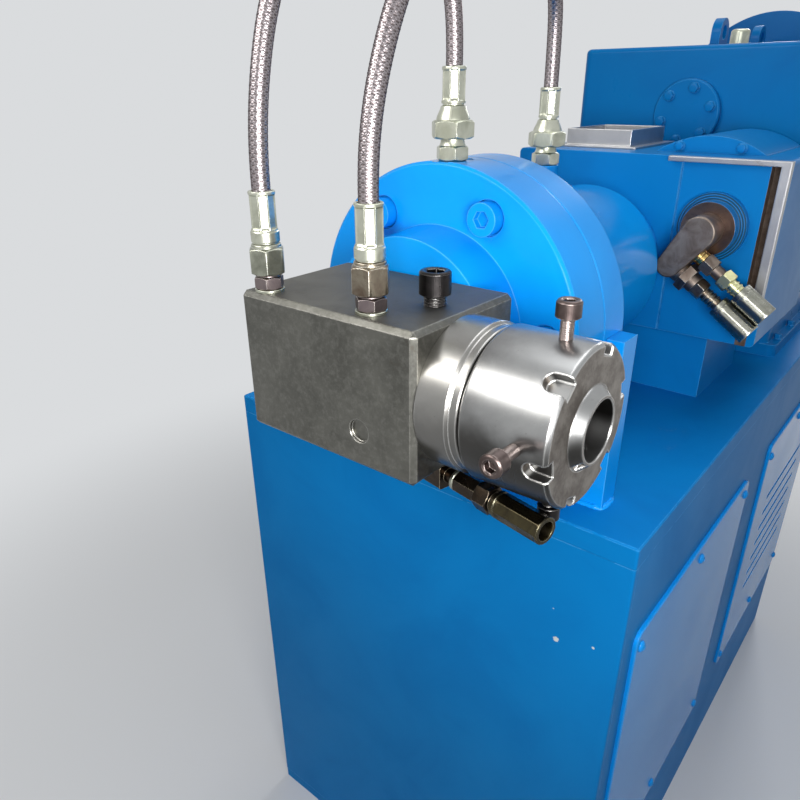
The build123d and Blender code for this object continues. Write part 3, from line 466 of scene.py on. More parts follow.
# %% Tool marks
marks_tree, marks_in, marks_out = new_group(
    "tool_marks", [("Across X", 8.0), ("Across Y", 500.0), ("Across Z", 500.0)],
    [("Height", "NodeSocketFloat")])
scales = add(marks_tree, "ShaderNodeCombineXYZ", 0, None, X=marks_in["Across X"],
             Y=marks_in["Across Y"], Z=marks_in["Across Z"])
squeezed = add(marks_tree, "ShaderNodeVectorMath", 0, {"operation": "MULTIPLY"},
               _0=marks_in["Place"], _1=scales)
fine = noise(marks_tree, squeezed, 1.0, 3.0, 0.6)
coarse = noise(marks_tree, squeezed, 0.23, 2.0, 0.5)
marks_tree.links.new(calc(marks_tree, "ADD", calc(marks_tree, "MULTIPLY", fine, 0.6),
                          calc(marks_tree, "MULTIPLY", coarse, 0.4)), marks_out["Height"])
print(marks_tree.name, "has", len(marks_tree.nodes), "nodes")


# %% [markdown]
# A material starts from the same few nodes: the Principled shader, the place on the object, and
# the groups above. Each finish below then joins them in its own way.

# %% Start a material
def start_material(name, color, roughness, metallic=0.0):
    """A material with its node tree, its Principled node and the object's own coordinates."""
    material = bpy.data.materials.new(name)
    material.use_nodes = True
    material.diffuse_color = (*color, 1.0)
    tree = material.node_tree
    shader = tree.nodes["Principled BSDF"]
    shader.inputs["Base Color"].default_value = (*color, 1.0)
    shader.inputs["Roughness"].default_value = roughness
    shader.inputs["Metallic"].default_value = metallic
    place = tree.nodes.new("ShaderNodeTexCoord").outputs["Object"]
    return material, tree, shader, place


def place_group(tree, group, place, **values):
    """Puts a node group into a material and sets its sockets."""
    made = tree.nodes.new("ShaderNodeGroup")
    made.node_tree = group
    tree.links.new(place, made.inputs["Place"])
    for key, value in values.items():
        made.inputs[key.replace("_", " ")].default_value = value
    return made.outputs


def bump(tree, height, distance, strength=1.0, normal=None):
    """A Bump node on a height, over the normal that it is given."""
    values = {"Height": height, "Distance": distance, "Strength": strength}
    if normal is not None:
        values["Normal"] = normal
    return add(tree, "ShaderNodeBump", 0, None, **values)


def connect(tree, shader, **sockets):
    """Links results to the Principled node's inputs."""
    for key, value in sockets.items():
        tree.links.new(value, shader.inputs[key.replace("_", " ")])


# %% [markdown]
# The machine is sprayed in a bright azure. The base, the feed section and the drive get a deeper
# tone: partly their own, partly painted shade for the light that falls off further from the front
# lamp. Shop paint is smooth but never quite even: it is a little wavy like orange peel, a few
# spots are chipped to primer, and thin dust lies only on what faces up. Along the edges the blue
# turns paler as a painted highlight. The shine is kept low in the shader, or the sides turn white
# at flat angles.

# %% Blue paint
BLUE = (0.003, 0.30, 0.82)
DEEP_BLUE = (0.002, 0.235, 0.70)
EDGE_HIGHLIGHT_BLUE = (0.10, 0.46, 0.90)
PRIMER = (0.60, 0.64, 0.64)
DUST = (0.16, 0.27, 0.42)
BROWN_GRIME = (0.075, 0.048, 0.035)
LIGHT_GRIME = (0.15, 0.11, 0.085)
PAINT_EDGE = 0.0018


def blue_paint(name, edge_highlight, dust, roughness, gloss, tone_and_shade=1.0, chips=(), groove=None):
    """Azure paint with a painted edge highlight, dust, chips at places, and a dirty groove."""
    # A tone below 1 deepens both blues; on the base, the feed section and the drive that is partly
    # painted shade.
    light, deep = (tuple(part * tone_and_shade for part in color) + (1,) for color in (BLUE, DEEP_BLUE))
    material, tree, shader, place = start_material(name, light[:3], roughness)
    shader.inputs["Specular IOR Level"].default_value = gloss
    edges = place_group(tree, edge_tree, place, Width=PAINT_EDGE, Amount=edge_highlight, Scale=60.0)
    dirt = place_group(tree, grime_tree, place, Patch=6.0, Grain=230.0, Amount=dust)
    color = mixed(tree, ramp(tree, dirt["Cloud"], 0.35, 0.8, 0.0, 0.8), light, deep)
    upward = ramp(tree, facing(tree, 2), 0.55, 1.0, 0.0, 0.34)
    settled = calc(tree, "MULTIPLY", dirt["Mask"], upward)
    color = mixed(tree, settled, color, (*DUST, 1))
    # The paler blue along the edges is a painted highlight.
    color = mixed(tree, calc(tree, "MULTIPLY", edges["Mask"], 0.6), color, (*EDGE_HIGHLIGHT_BLUE, 1))
    bare = None
    for centre, size in chips:
        ragged = calc(tree, "MULTIPLY_ADD", noise(tree, place, 420.0, 2.0), size * 0.9, size * 0.4)
        inside = calc(tree, "SUBTRACT", ragged, distance(tree, place, centre))
        chip = ramp(tree, inside, 0.0, size * 0.15)
        bare = chip if bare is None else calc(tree, "MAXIMUM", bare, chip)
    if chips:
        color = mixed(tree, bare, color, (*PRIMER, 1))
    uneven = ramp(tree, dirt["Cloud"], 0.2, 0.8, roughness - 0.05, roughness + 0.05)
    rough = calc(tree, "ADD", uneven, calc(tree, "MULTIPLY", settled, 0.6), clamp=True)
    if groove:
        dirty = mixed(tree, ramp(tree, noise(tree, place, 90.0, 5.0, 0.7), 0.3, 0.7),
                      (*BROWN_GRIME, 1), (*LIGHT_GRIME, 1))
        color = mixed(tree, in_box(tree, place, *groove), color, dirty)
    peel = noise(tree, place, 150.0, 2.0, 0.5)
    normal = bump(tree, peel, 0.0003, 0.08, edges["Rounded"])
    if chips:
        normal = bump(tree, calc(tree, "SUBTRACT", 1.0, bare), 0.0002, 0.5, normal)
    connect(tree, shader, Base_Color=color, Roughness=rough, Normal=normal)
    return material


# %% [markdown]
# The machine's parts differ in how much painted highlight their edges get, how dusty and shiny
# they are, and how deep their tone is, partly as painted shade, so one function makes four tones
# from a few numbers. The front of the base has three chips down to the primer, and a groove in the
# side of the feed section has filled with brown grime.

# %% Four tones of paint
FRONT_PANEL_CHIPS = [(tuple(spot(159, 142, -340)), 0.0042), (tuple(spot(202, 142, -327)), 0.0020),
                     (tuple(spot(152, 142, -300)), 0.0012)]
FRAME_GROOVE = (spot(195, 505, -90), spot(208, 526, 131))
# The feed section's deeper tone is partly painted shade.
FEED_TONE_AND_SHADE = 0.62
machine_blue = blue_paint("machine_blue", edge_highlight=0.42, dust=0.35, roughness=0.19, gloss=0.17)
base_blue = blue_paint("base_blue", edge_highlight=0.26, dust=0.40, roughness=0.46, gloss=0.07, tone_and_shade=0.64,
                       chips=FRONT_PANEL_CHIPS)
feed_blue = blue_paint("feed_blue", edge_highlight=0.32, dust=0.40, roughness=0.36, gloss=0.12,
                       tone_and_shade=FEED_TONE_AND_SHADE, groove=FRAME_GROOVE)
drive_blue = blue_paint("drive_blue", edge_highlight=0.32, dust=0.40, roughness=0.30, gloss=0.10, tone_and_shade=0.56)
print("four tones of paint made")

# %% [markdown]
# The crosshead block is tool steel that has been handled and oiled for years. It is darker than
# clean steel, with a fine grey mottling and specks, faint mill lines, a weak bluish stain round
# the clamp screw, a matt top that is darkened as a painted shade, and edges that are rubbed round
# and bright. Each of these is a mask of its own that is laid over the plain steel, so each can be
# set without the others.

# %% Block steel
MOTTLE = (0.30, 0.295, 0.27, 1)
SPECK = (0.075, 0.062, 0.045, 1)
BLUISH_STAIN = (0.055, 0.062, 0.085, 1)
PAINTED_TOP_SHADE = (0.100, 0.095, 0.087, 1)
RUBBED_STEEL = (0.62, 0.60, 0.55, 1)


def block_finish(name, color, stain_at, stain_reach):
    """Dark handled steel: fine mottling, specks, a stain about one place, rubbed edges."""
    material, tree, shader, place = start_material(name, color, 0.36, 1.0)
    edges = place_group(tree, edge_tree, place, Width=0.0022, Amount=0.36, Scale=170.0)
    dirt = place_group(tree, grime_tree, place, Patch=26.0, Grain=420.0, Amount=0.42)
    lines = place_group(tree, marks_tree, place, Across_X=14, Across_Y=420, Across_Z=420)
    darker = tuple(part * 0.66 for part in color)
    shade = mixed(tree, ramp(tree, dirt["Cloud"], 0.3, 0.72), (*color, 1), (*darker, 1))
    fine = noise(tree, place, 240.0, 6.0, 0.72)
    shade = mixed(tree, ramp(tree, fine, 0.42, 0.72, 0.0, 0.30), shade, MOTTLE)
    shade = mixed(tree, calc(tree, "MULTIPLY", dirt["Mask"], 0.45), shade, SPECK)
    ragged = calc(tree, "MULTIPLY_ADD", noise(tree, place, 55.0, 5.0, 0.65), -0.05,
                  distance(tree, place, stain_at))
    stain = ramp(tree, ragged, stain_reach, 0.0, 0.0, 0.45)
    shade = mixed(tree, stain, shade, BLUISH_STAIN)
    # Faces that look up turn matt and darker; the darker colour is a painted shade.
    top_facing = ramp(tree, facing(tree, 2), 0.7, 0.98)
    shade = mixed(tree, calc(tree, "MULTIPLY", top_facing, 0.45), shade, PAINTED_TOP_SHADE)
    shade = mixed(tree, calc(tree, "MULTIPLY", edges["Mask"], 0.55), shade, RUBBED_STEEL)
    swirl = noise(tree, stretched(tree, place, (60, 14, 60)), 6.0, 2.0, 0.5, 3.0)
    scratch = ramp(tree, calc(tree, "ABSOLUTE", calc(tree, "SUBTRACT", swirl, 0.5)), 0.005, 0.0)
    pits = ramp(tree, noise(tree, place, 300.0, 3.0, 0.65), 0.66, 0.76)
    rough = calc(tree, "MULTIPLY_ADD", fine, 0.22, 0.26)
    rough = calc(tree, "MULTIPLY_ADD", top_facing, 0.18, rough)
    rough = calc(tree, "ADD", rough, calc(tree, "MULTIPLY", dirt["Mask"], 0.12))
    rough = calc(tree, "SUBTRACT", rough, calc(tree, "MULTIPLY", edges["Mask"], 0.08), clamp=True)
    hollow = calc(tree, "ADD", calc(tree, "MULTIPLY", scratch, 0.35), pits)
    normal = bump(tree, lines["Height"], 0.0001, 0.16, edges["Rounded"])
    normal = bump(tree, calc(tree, "SUBTRACT", 1.0, hollow), 0.00022, 0.45, normal)
    connect(tree, shader, Base_Color=shade, Roughness=rough, Normal=normal)
    return material


BLOCK_TOP = 62
milled_steel = block_finish("milled_steel", (0.156, 0.153, 0.135), tuple(spot(66, 10, BLOCK_TOP)),
                            stain_reach=0.034)
print("block steel made")

# %% [markdown]
# The die nut and its collar were turned, so their faint marks run round the bore. They are bright
# and smooth enough for a broad soft band of light. Fine dark specks stand where oil has bitten.
# Oil has seeped from the ring's joint over the near end of the nut, and the nut's front face is
# brown with it, while its rims are rubbed bright. The undersides of the nut and the collar are
# darker, partly with oil and partly as a painted shade. How far along the bore a point is and
# which way it faces tell where the oil and that shade lie.

# %% Turned steel
UNDERSIDE_OIL_AND_SHADE = (0.042, 0.040, 0.037, 1)
SEEPED_OIL = (0.095, 0.091, 0.086, 1)
OIL_REACH = 0.062
BROWN_FACE = ((0.13, 0.105, 0.085, 1), (0.30, 0.27, 0.235, 1))
BRIGHT_RIM = (0.80, 0.79, 0.76, 1)
PIT = (0.10, 0.095, 0.09, 1)


def worked_steel(name, color, stain, roughness, marks, staining, edge=0.55, face=0.0, pitted=1.0,
                 dark_below=0.0, round_off=0.0017, oiled_from=None):
    """Bare steel: tool marks, stains, pits, bright edges, oil, painted shade below, where asked."""
    material, tree, shader, place = start_material(name, color, roughness, 1.0)
    edges = place_group(tree, edge_tree, place, Width=round_off, Amount=edge, Scale=150.0)
    dirt = place_group(tree, grime_tree, place, Patch=20.0, Grain=480.0, Amount=staining)
    lines = place_group(tree, marks_tree, place, Across_X=marks[0], Across_Y=marks[1],
                        Across_Z=marks[2])
    shade = mixed(tree, ramp(tree, dirt["Cloud"], 0.3, 0.75, 0.0, 0.8), (*color, 1),
                  tuple(part * 0.74 for part in color) + (1,))
    shade = mixed(tree, calc(tree, "MULTIPLY", dirt["Mask"], 0.6), shade, (*stain, 1))
    rough = calc(tree, "MULTIPLY_ADD", lines["Height"], 0.04, roughness - 0.02)
    if dark_below:
        # The underside is darkened: partly oil, partly a painted shade.
        under = calc(tree, "MULTIPLY_ADD", noise(tree, place, 24.0, 4.0), 0.5, facing(tree, 2))
        shade = mixed(tree, ramp(tree, under, 0.56, 0.08, 0.0, dark_below), shade, UNDERSIDE_OIL_AND_SHADE)
    if oiled_from:
        spread = calc(tree, "MULTIPLY_ADD", noise(tree, place, 34.0, 5.0, 0.62), 0.05,
                      part_of(tree, place, 0))
        seeped = ramp(tree, spread, oiled_from + OIL_REACH, oiled_from, 0.0, 0.62)
        shade = mixed(tree, seeped, shade, SEEPED_OIL)
    if face:
        browned = ramp(tree, facing(tree, 0), 0.75, 0.97, 0.0, face)
        patches = ramp(tree, noise(tree, place, 70.0, 6.0, 0.7), 0.35, 0.68)
        shade = mixed(tree, browned, shade, mixed(tree, patches, *BROWN_FACE))
        rough = calc(tree, "MULTIPLY_ADD", browned, 0.12, rough)
    shade = mixed(tree, calc(tree, "MULTIPLY", edges["Mask"], 0.8), shade, BRIGHT_RIM)
    pits = ramp(tree, noise(tree, place, 520.0, 3.0, 0.7), 0.64, 0.76, 0.0, pitted)
    rough = calc(tree, "ADD", rough, calc(tree, "MULTIPLY", dirt["Mask"], 0.14))
    rough = calc(tree, "SUBTRACT", rough, calc(tree, "MULTIPLY", edges["Mask"], 0.05), clamp=True)
    shade = mixed(tree, calc(tree, "MULTIPLY", pits, 0.5), shade, PIT)
    normal = bump(tree, lines["Height"], 0.00006, 0.05, edges["Rounded"])
    normal = bump(tree, calc(tree, "SUBTRACT", 1.0, pits), 0.00015, 0.35, normal)
    connect(tree, shader, Base_Color=shade, Roughness=rough, Normal=normal)
    return material


ROUND_MARKS = (900, 30, 30)
FLAT_MARKS = (60, 60, 500)
turned_steel = worked_steel("turned_steel", (0.36, 0.35, 0.33), (0.15, 0.13, 0.105),
                            roughness=0.29, marks=ROUND_MARKS, staining=0.35, dark_below=0.45)
nut_steel = worked_steel("nut_steel", (0.41, 0.41, 0.405), (0.13, 0.12, 0.11), roughness=0.28,
                         marks=ROUND_MARKS, staining=0.26, edge=0.66, face=0.85, dark_below=0.94,
                         round_off=0.0024, oiled_from=0.218)
bright_steel = worked_steel("bright_steel", (0.42, 0.42, 0.43), (0.15, 0.125, 0.105),
                            roughness=0.38, marks=FLAT_MARKS, staining=0.46, pitted=0.15)
print("three worked steels made")

# %% [markdown]
# Screws are blackened or browned steel, rubbed bright on their rims. Hose ends are zinc plated,
# with a faint yellow-green sheen from the passivation. Brass, the black die and the rubber inside
# the hoses follow the same plan: two tones that flow into each other, soot and rubbed edges. They
# differ only in numbers, so one function makes them all.

# %% Small metals
SOOT = (0.05, 0.042, 0.035, 1)


def plated(name, color, second, roughness, staining, edge, shine=(0.6, 0.58, 0.52), metallic=1.0,
           round_off=0.0007):
    """A plated or blackened metal: two tones that flow into each other, dirt and rubbed edges."""
    material, tree, shader, place = start_material(name, color, roughness, metallic)
    edges = place_group(tree, edge_tree, place, Width=round_off, Amount=edge, Scale=260.0)
    dirt = place_group(tree, grime_tree, place, Patch=48.0, Grain=500.0, Amount=staining)
    shade = mixed(tree, ramp(tree, dirt["Cloud"], 0.32, 0.68), (*color, 1), (*second, 1))
    shade = mixed(tree, calc(tree, "MULTIPLY", dirt["Mask"], 0.7), shade, SOOT)
    shade = mixed(tree, edges["Mask"], shade, (*shine, 1))
    rough = calc(tree, "MULTIPLY_ADD", dirt["Cloud"], 0.25, roughness - 0.12)
    rough = calc(tree, "ADD", rough, calc(tree, "MULTIPLY", dirt["Mask"], 0.2), clamp=True)
    normal = bump(tree, noise(tree, place, 700.0, 3.0), 0.00012, 0.25, edges["Rounded"])
    connect(tree, shader, Base_Color=shade, Roughness=rough, Normal=normal)
    return material


zinc_plate = plated("zinc_plate", (0.60, 0.61, 0.51), (0.40, 0.41, 0.32), roughness=0.33,
                    staining=0.26, edge=0.34, shine=(0.90, 0.90, 0.82), round_off=0.00022)
stained_zinc = plated("stained_zinc", (0.27, 0.235, 0.18), (0.11, 0.076, 0.055), roughness=0.30,
                      staining=0.50, edge=0.78, shine=(0.88, 0.84, 0.74), round_off=0.0009)
aged_zinc = plated("aged_zinc", (0.42, 0.43, 0.35), (0.22, 0.225, 0.18), roughness=0.33,
                   staining=0.45, edge=0.78, shine=(0.86, 0.86, 0.78), round_off=0.0009)
yellow_zinc = plated("yellow_zinc", (0.72, 0.72, 0.42), (0.58, 0.55, 0.30), roughness=0.28,
                     staining=0.20, edge=0.45, shine=(0.90, 0.90, 0.70))
adaptor_steel = plated("adaptor_steel", (0.25, 0.205, 0.20), (0.14, 0.112, 0.115), roughness=0.36,
                       staining=0.30, edge=0.60, shine=(0.56, 0.52, 0.48))
black_oxide = plated("black_oxide", (0.045, 0.041, 0.041), (0.026, 0.024, 0.024), roughness=0.30,
                     staining=0.25, edge=0.66, shine=(0.50, 0.48, 0.46))
browned_steel = plated("browned_steel", (0.155, 0.120, 0.112), (0.075, 0.056, 0.052),
                       roughness=0.32, staining=0.42, edge=0.76, shine=(0.66, 0.57, 0.53),
                       round_off=0.0010)
brass = plated("brass", (0.72, 0.50, 0.19), (0.48, 0.33, 0.13), roughness=0.26, staining=0.25,
               edge=0.40, shine=(0.9, 0.72, 0.36))
chromed_shell = plated("chromed_shell", (0.40, 0.40, 0.35), (0.21, 0.21, 0.175), roughness=0.27,
                       staining=0.22, edge=0.45, shine=(0.86, 0.86, 0.80), round_off=0.0003)
union_steel = plated("union_steel", (0.24, 0.20, 0.17), (0.115, 0.088, 0.072), roughness=0.46,
                     staining=0.45, edge=0.50)
# Near black: blackened metal, darkened further as a painted shade under the block.
elbow_black_and_shaded = plated("elbow_black_and_shaded", (0.050, 0.036, 0.026), (0.026, 0.022, 0.018), roughness=0.28,
                    staining=0.45, edge=0.60, shine=(0.50, 0.42, 0.30))
olive_ferrule = plated("olive_ferrule", (0.088, 0.074, 0.038), (0.040, 0.033, 0.022),
                       roughness=0.26, staining=0.40, edge=0.60, shine=(0.52, 0.50, 0.36),
                       round_off=0.0004)
die_black = plated("die_black", (0.030, 0.027, 0.027), (0.06, 0.042, 0.036), roughness=0.42,
                   staining=0.40, edge=0.30)
inner_rubber = plated("inner_rubber", (0.03, 0.03, 0.032), (0.05, 0.05, 0.05), roughness=0.6,
                      staining=0.2, edge=0.0, shine=(0.08, 0.08, 0.08), metallic=0.0)
print("small metals made")

# %% [markdown]
# The cap that closes the feed roll is one turning, but only its outer ring was painted: the disc
# inside it is brown oily iron. The paint ends on a circle and has the feed section's deeper tone,
# partly painted shade, and the three grooves in the ring get a painted shade.
# Two pieces with a material each could show this, but a distance from the axis draws the same
# circle and leaves the mesh alone.

# %% Roll cap, painted outside and bare inside
OILY_IRON = ((0.17, 0.115, 0.09, 1), (0.075, 0.05, 0.042, 1))
RUBBED_IRON = (0.5, 0.42, 0.36, 1)
PAINTED_GROOVE_SHADE = (0.004, 0.035, 0.060, 1)


def roll_cap_finish(name, centre, edge, grooves):
    """Blue past the edge's distance from the axis, iron inside, painted shade in each groove."""
    material, tree, shader, place = start_material(name, (0.10, 0.07, 0.055), 0.36)
    off = add(tree, "ShaderNodeVectorMath", 0, {"operation": "SUBTRACT"}, _0=place, _1=centre)
    flat_off = add(tree, "ShaderNodeVectorMath", 0, {"operation": "MULTIPLY"}, _0=off, _1=(1, 0, 1))
    away = add(tree, "ShaderNodeVectorMath", 1, {"operation": "LENGTH"}, _0=flat_off)
    painted = calc(tree, "GREATER_THAN", away, edge)
    edges = place_group(tree, edge_tree, place, Width=0.0014, Amount=0.35, Scale=160.0)
    dirt = place_group(tree, grime_tree, place, Patch=40.0, Grain=300.0, Amount=0.5)
    iron = mixed(tree, ramp(tree, dirt["Cloud"], 0.3, 0.7), *OILY_IRON)
    iron = mixed(tree, calc(tree, "MULTIPLY", edges["Mask"], 0.6), iron, RUBBED_IRON)
    # Each groove is a dark line on the paint: a painted shade for the recess.
    cut = None
    for groove in grooves:
        near = calc(tree, "ABSOLUTE", calc(tree, "SUBTRACT", away, groove))
        line = ramp(tree, near, 0.0013, 0.0005)
        cut = line if cut is None else calc(tree, "MAXIMUM", cut, line)
    paint = mixed(tree, calc(tree, "MULTIPLY", cut, 0.9), (*(part * FEED_TONE_AND_SHADE for part in BLUE), 1),
                  PAINTED_GROOVE_SHADE)
    connect(tree, shader, Base_Color=mixed(tree, painted, iron, paint),
            Metallic=calc(tree, "SUBTRACT", 1.0, painted),
            Roughness=calc(tree, "MULTIPLY_ADD", dirt["Cloud"], 0.2, 0.24),
            Normal=bump(tree, calc(tree, "SUBTRACT", 1.0, cut), 0.0008, 0.8, edges["Rounded"]))
    return material


roll_cap = roll_cap_finish("roll_cap", tuple(spot(142, 500, 56)), edge=0.0325,
                           grooves=(0.0345, 0.0375, 0.0405))
print("roll cap's finish made")

# %% [markdown]
# The braid is a sleeve of flat bundles of stainless wires, half of them wound to the left and
# half to the right, each going over one and under the next. The bundles are real geometry; the
# single wires in a bundle are too fine for that and come from a bump across its width, with a
# painted shade in stripes between them. The UV map holds how far across a bundle a point is and
# how high it rides, so the low parts and the bundle's sides get a painted shade.

# %% Braid finish
WIRES_PER_BUNDLE = 7
WIRE_LIT_AND_SHADED = ((0.31, 0.275, 0.285, 1), (0.43, 0.39, 0.40, 1))
SHADE_BETWEEN_BUNDLES = (0.15, 0.125, 0.125, 1)


def braid_finish(name):
    """Stainless bundles: painted shade between wires, at the sides and where one dives under."""
    material, tree, shader, place = start_material(name, (0.50, 0.46, 0.47), 0.30, 1.0)
    shader.inputs["Specular Tint"].default_value = (0.22, 0.20, 0.20, 1)
    weave = add(tree, "ShaderNodeUVMap", 0, {"uv_map": "bundle"})
    across = part_of(tree, weave, 0)
    height = part_of(tree, weave, 1)
    # The stripes across each bundle put a painted shade between the wires.
    stripe = calc(tree, "SINE", calc(tree, "MULTIPLY", across, 2 * math.pi * WIRES_PER_BUNDLE))
    wire = calc(tree, "MULTIPLY_ADD", stripe, 0.5, 0.5)
    side = calc(tree, "ABSOLUTE", calc(tree, "SUBTRACT", across, 0.5))
    # Where a bundle rides low or near its side it turns dark: a painted shade.
    over = calc(tree, "MULTIPLY", ramp(tree, height, 0.25, 0.75),
                ramp(tree, side, 0.5, 0.36, 0.3, 1.0))
    shade = mixed(tree, over, SHADE_BETWEEN_BUNDLES, mixed(tree, wire, *WIRE_LIT_AND_SHADED))
    connect(tree, shader, Base_Color=shade, Roughness=calc(tree, "MULTIPLY_ADD", over, -0.12, 0.42),
            Normal=bump(tree, wire, 0.0001, 0.05))
    return material


braid_steel = braid_finish("braid_steel")
print("braid's finish made")

# %% [markdown]
# A bump alone would leave the hose with a smooth outline, so the bundles are woven as geometry.
# A bundle is a helix laid on the hose: its angle grows evenly along the centre line, and its
# radius rises and falls so that it passes over and under the others. With sixteen bundles each
# way, a bundle meets another every half wave of cos(16 k s), where k is how fast it turns; the
# two directions take opposite signs of that same wave, so one is always over where the other is
# under. Each bundle is a closed band with a roof's section, which keeps the faces few.

# %% Braid geometry
BUNDLES = 16
BRAID_RADIUS = 0.00745
WEAVE = 0.00017
BAND_SHARE = 0.94
ROOF = np.array([-0.00013, 0.00010, -0.00013])
STEP = math.pi * BRAID_RADIUS / BUNDLES / 2
SMOOTHED = 33


def even_line(line, step):
    """The same line with points one step apart: a quarter of the weave's wave, so it stays even."""
    along = np.concatenate([[0], np.cumsum(np.linalg.norm(np.diff(line, axis=0), axis=1))])
    even = np.arange(0, along[-1], step)
    return np.stack([np.interp(even, along, line[:, axis]) for axis in range(3)], 1), even


def smooth_tangent(centre):
    """Unit directions along a line: its gradient, averaged over a run of neighbouring points."""
    kernel = np.ones(SMOOTHED) / SMOOTHED
    padded = np.pad(np.gradient(centre, axis=0), ((SMOOTHED // 2, SMOOTHED // 2), (0, 0)),
                    mode="edge")
    tangent = np.stack([np.convolve(padded[:, axis], kernel, "valid") for axis in range(3)], 1)
    return tangent / np.linalg.norm(tangent, axis=1)[:, None]


def braid(name, line):
    """Thirty-two woven bands over a centre line, each a grid of length by three corners. The angle
    is the bundle's own plus or minus the length over the radius, and the radius is the braid's
    plus a cosine of sixteen times that length over the radius.
    """
    centre, even = even_line(line, STEP)
    tangent = smooth_tangent(centre)
    first = np.cross(tangent, X)
    first /= np.linalg.norm(first, axis=1)[:, None]
    second = np.cross(tangent, first)
    twist = 1.0 / BRAID_RADIUS
    half = math.pi / BUNDLES * BAND_SHARE
    corner_angle = np.array([-1.0, 0.0, 1.0]) * half
    count = len(even)
    points, faces, marks = [], [], []
    row = np.arange(count - 1)[:, None] * 3
    corner = np.arange(3)
    following = (corner + 1) % 3
    sides = np.stack([row + corner, row + following, row + 3 + following, row + 3 + corner], -1)
    across = np.array([0.0, 0.5, 1.0])
    for way in (1, -1):
        for bundle in range(BUNDLES):
            lift = way * WEAVE * np.cos(BUNDLES * twist * even + math.pi * bundle)
            angle = 2 * math.pi * bundle / BUNDLES + way * twist * even
            angle = angle[:, None] + corner_angle
            radius = (BRAID_RADIUS + lift)[:, None] + ROOF
            band = (centre[:, None, :] + (radius * np.cos(angle))[..., None] * first[:, None, :]
                    + (radius * np.sin(angle))[..., None] * second[:, None, :])
            start = len(points) * count * 3
            flat = sides.reshape(-1, 4) + start
            last = start + (count - 1) * 3
            caps = np.array([[start + 2, start + 1, start], [last, last + 1, last + 2]])
            faces += (flat if way > 0 else flat[:, ::-1]).tolist()
            faces += (caps if way > 0 else caps[:, ::-1]).tolist()
            points.append(band.reshape(-1, 3))
            height = np.repeat(0.5 + 0.5 * lift / WEAVE, 3)
            marks.append(np.stack([np.tile(across, count), height], 1))
    mesh = bpy.data.meshes.new(name)
    mesh.from_pydata(np.vstack(points).tolist(), [], faces)
    layer = mesh.uv_layers.new(name="bundle")
    order = np.concatenate([np.array(face) for face in faces])
    layer.data.foreach_set("uv", np.vstack(marks)[order].astype(np.float32).ravel())
    mesh.shade_smooth()
    mesh.set_sharp_from_angle(angle=math.radians(60))
    mesh.materials.append(braid_steel)
    made = bpy.data.objects.new(name, mesh)
    scene.collection.objects.link(made)
    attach(made, "root")
    print(name, len(faces), "faces over", round(float(even[-1]), 3), "m")
    return made


# %% [markdown]
# Each hose is one cord. The curve inside it is the one that is measured and takes the place of
# the plain solid hose, and the braid is the piece that comes with it.

# %% Two braids on their cores
left_braid = braid("left_hose_braid", left_line)
right_braid = braid("right_hose_braid", right_line)

for core, line, woven, node in ((left_core, left_line, left_braid, "left_braided_hose"),
                                (right_core, right_line, right_braid, "right_braided_hose")):
    core.data.materials.append(inner_rubber)
    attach(core, "root")
    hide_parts(node)

# %% [markdown]
# At each foot of a hose stands the same row of parts: a browned adaptor on a bright washer, a
# swivel nut, grey on the left and stained brown on the right, and a ferrule that was pressed on in
# a crimping die. The die's jaws leave eight flats on the ferrule, but not on the wide ring at its
# foot or on its mouth. Each part is a list of heights and radii, as a turner reads them from a
# drawing, and takes the place of the plain solid that the model has there.

# %% Hose ends on the block
ADAPTOR_TOP = 14
NUT_TOP = 40
RING_TOP = 50.5
FERRULE_TOP = 81
LEFT_PORT = (-52, -44.5)
RIGHT_PORT = (58, -39)


def swivel_nut(x, y, clock):
    """A tall hexagon whose upper end is turned down to a round lip."""
    rows = [(ADAPTOR_TOP, 8, 0)] + six_sided(ADAPTOR_TOP + 0.2, NUT_TOP - 3, 27, 0.88)
    rows += [(NUT_TOP - 2.6, 12.6, 0), (NUT_TOP - 0.8, 12.0, 0)]
    rows += [(NUT_TOP, 10.8, 0), (NUT_TOP, 8, 0)]
    return turned(spot(x, y, BLOCK_TOP), Z, rows, 96, clock=clock)


def crimped_ferrule(x, y, clock):
    """A ring, a neck of flats where the jaws closed, and a round mouth with its inner wall."""
    rows = [(NUT_TOP, 7, 0), (NUT_TOP, 10.6, 0), (NUT_TOP + 0.9, 10.6, 0), (NUT_TOP + 1.1, 11.6, 0)]
    rows += [(NUT_TOP + 1.6, 11.8, 0), (NUT_TOP + 2.0, 11.8, 0), (RING_TOP - 2.0, 11.8, 0)]
    rows += [(RING_TOP - 1.6, 11.8, 0), (RING_TOP - 0.9, 11.5, 0)]
    rows += [(RING_TOP - 0.4, 11.1, 0), (RING_TOP, 11, 0)]
    rows += between(RING_TOP + 0.6, FERRULE_TOP - 1.4, 11, 1.1)
    rows += [(FERRULE_TOP - 0.5, 10.9, 0), (FERRULE_TOP, 10.4, 0), (FERRULE_TOP, 8.7, 0)]
    rows += [(FERRULE_TOP - 3, 8.4, 0), (FERRULE_TOP - 3, 6, 0)]
    jaws = crimped(RING_TOP + 0.6, FERRULE_TOP - 2.2, 19.1)
    return turned(spot(x, y, BLOCK_TOP), Z, rows, 192, [jaws], clock)


def adaptor(x, y, clock):
    """A hexagon with a short neck up into the swivel nut."""
    rows = [(-3, 7, 0), (-3, 9.5, 0), (2.2, 9.5, 0)] + six_sided(2.3, 12.6, 22)
    rows += [(12.8, 9.6, 0), (ADAPTOR_TOP, 9.4, 0), (ADAPTOR_TOP, 6, 0)]
    return turned(spot(x, y, BLOCK_TOP), Z, rows, 96, clock=clock)


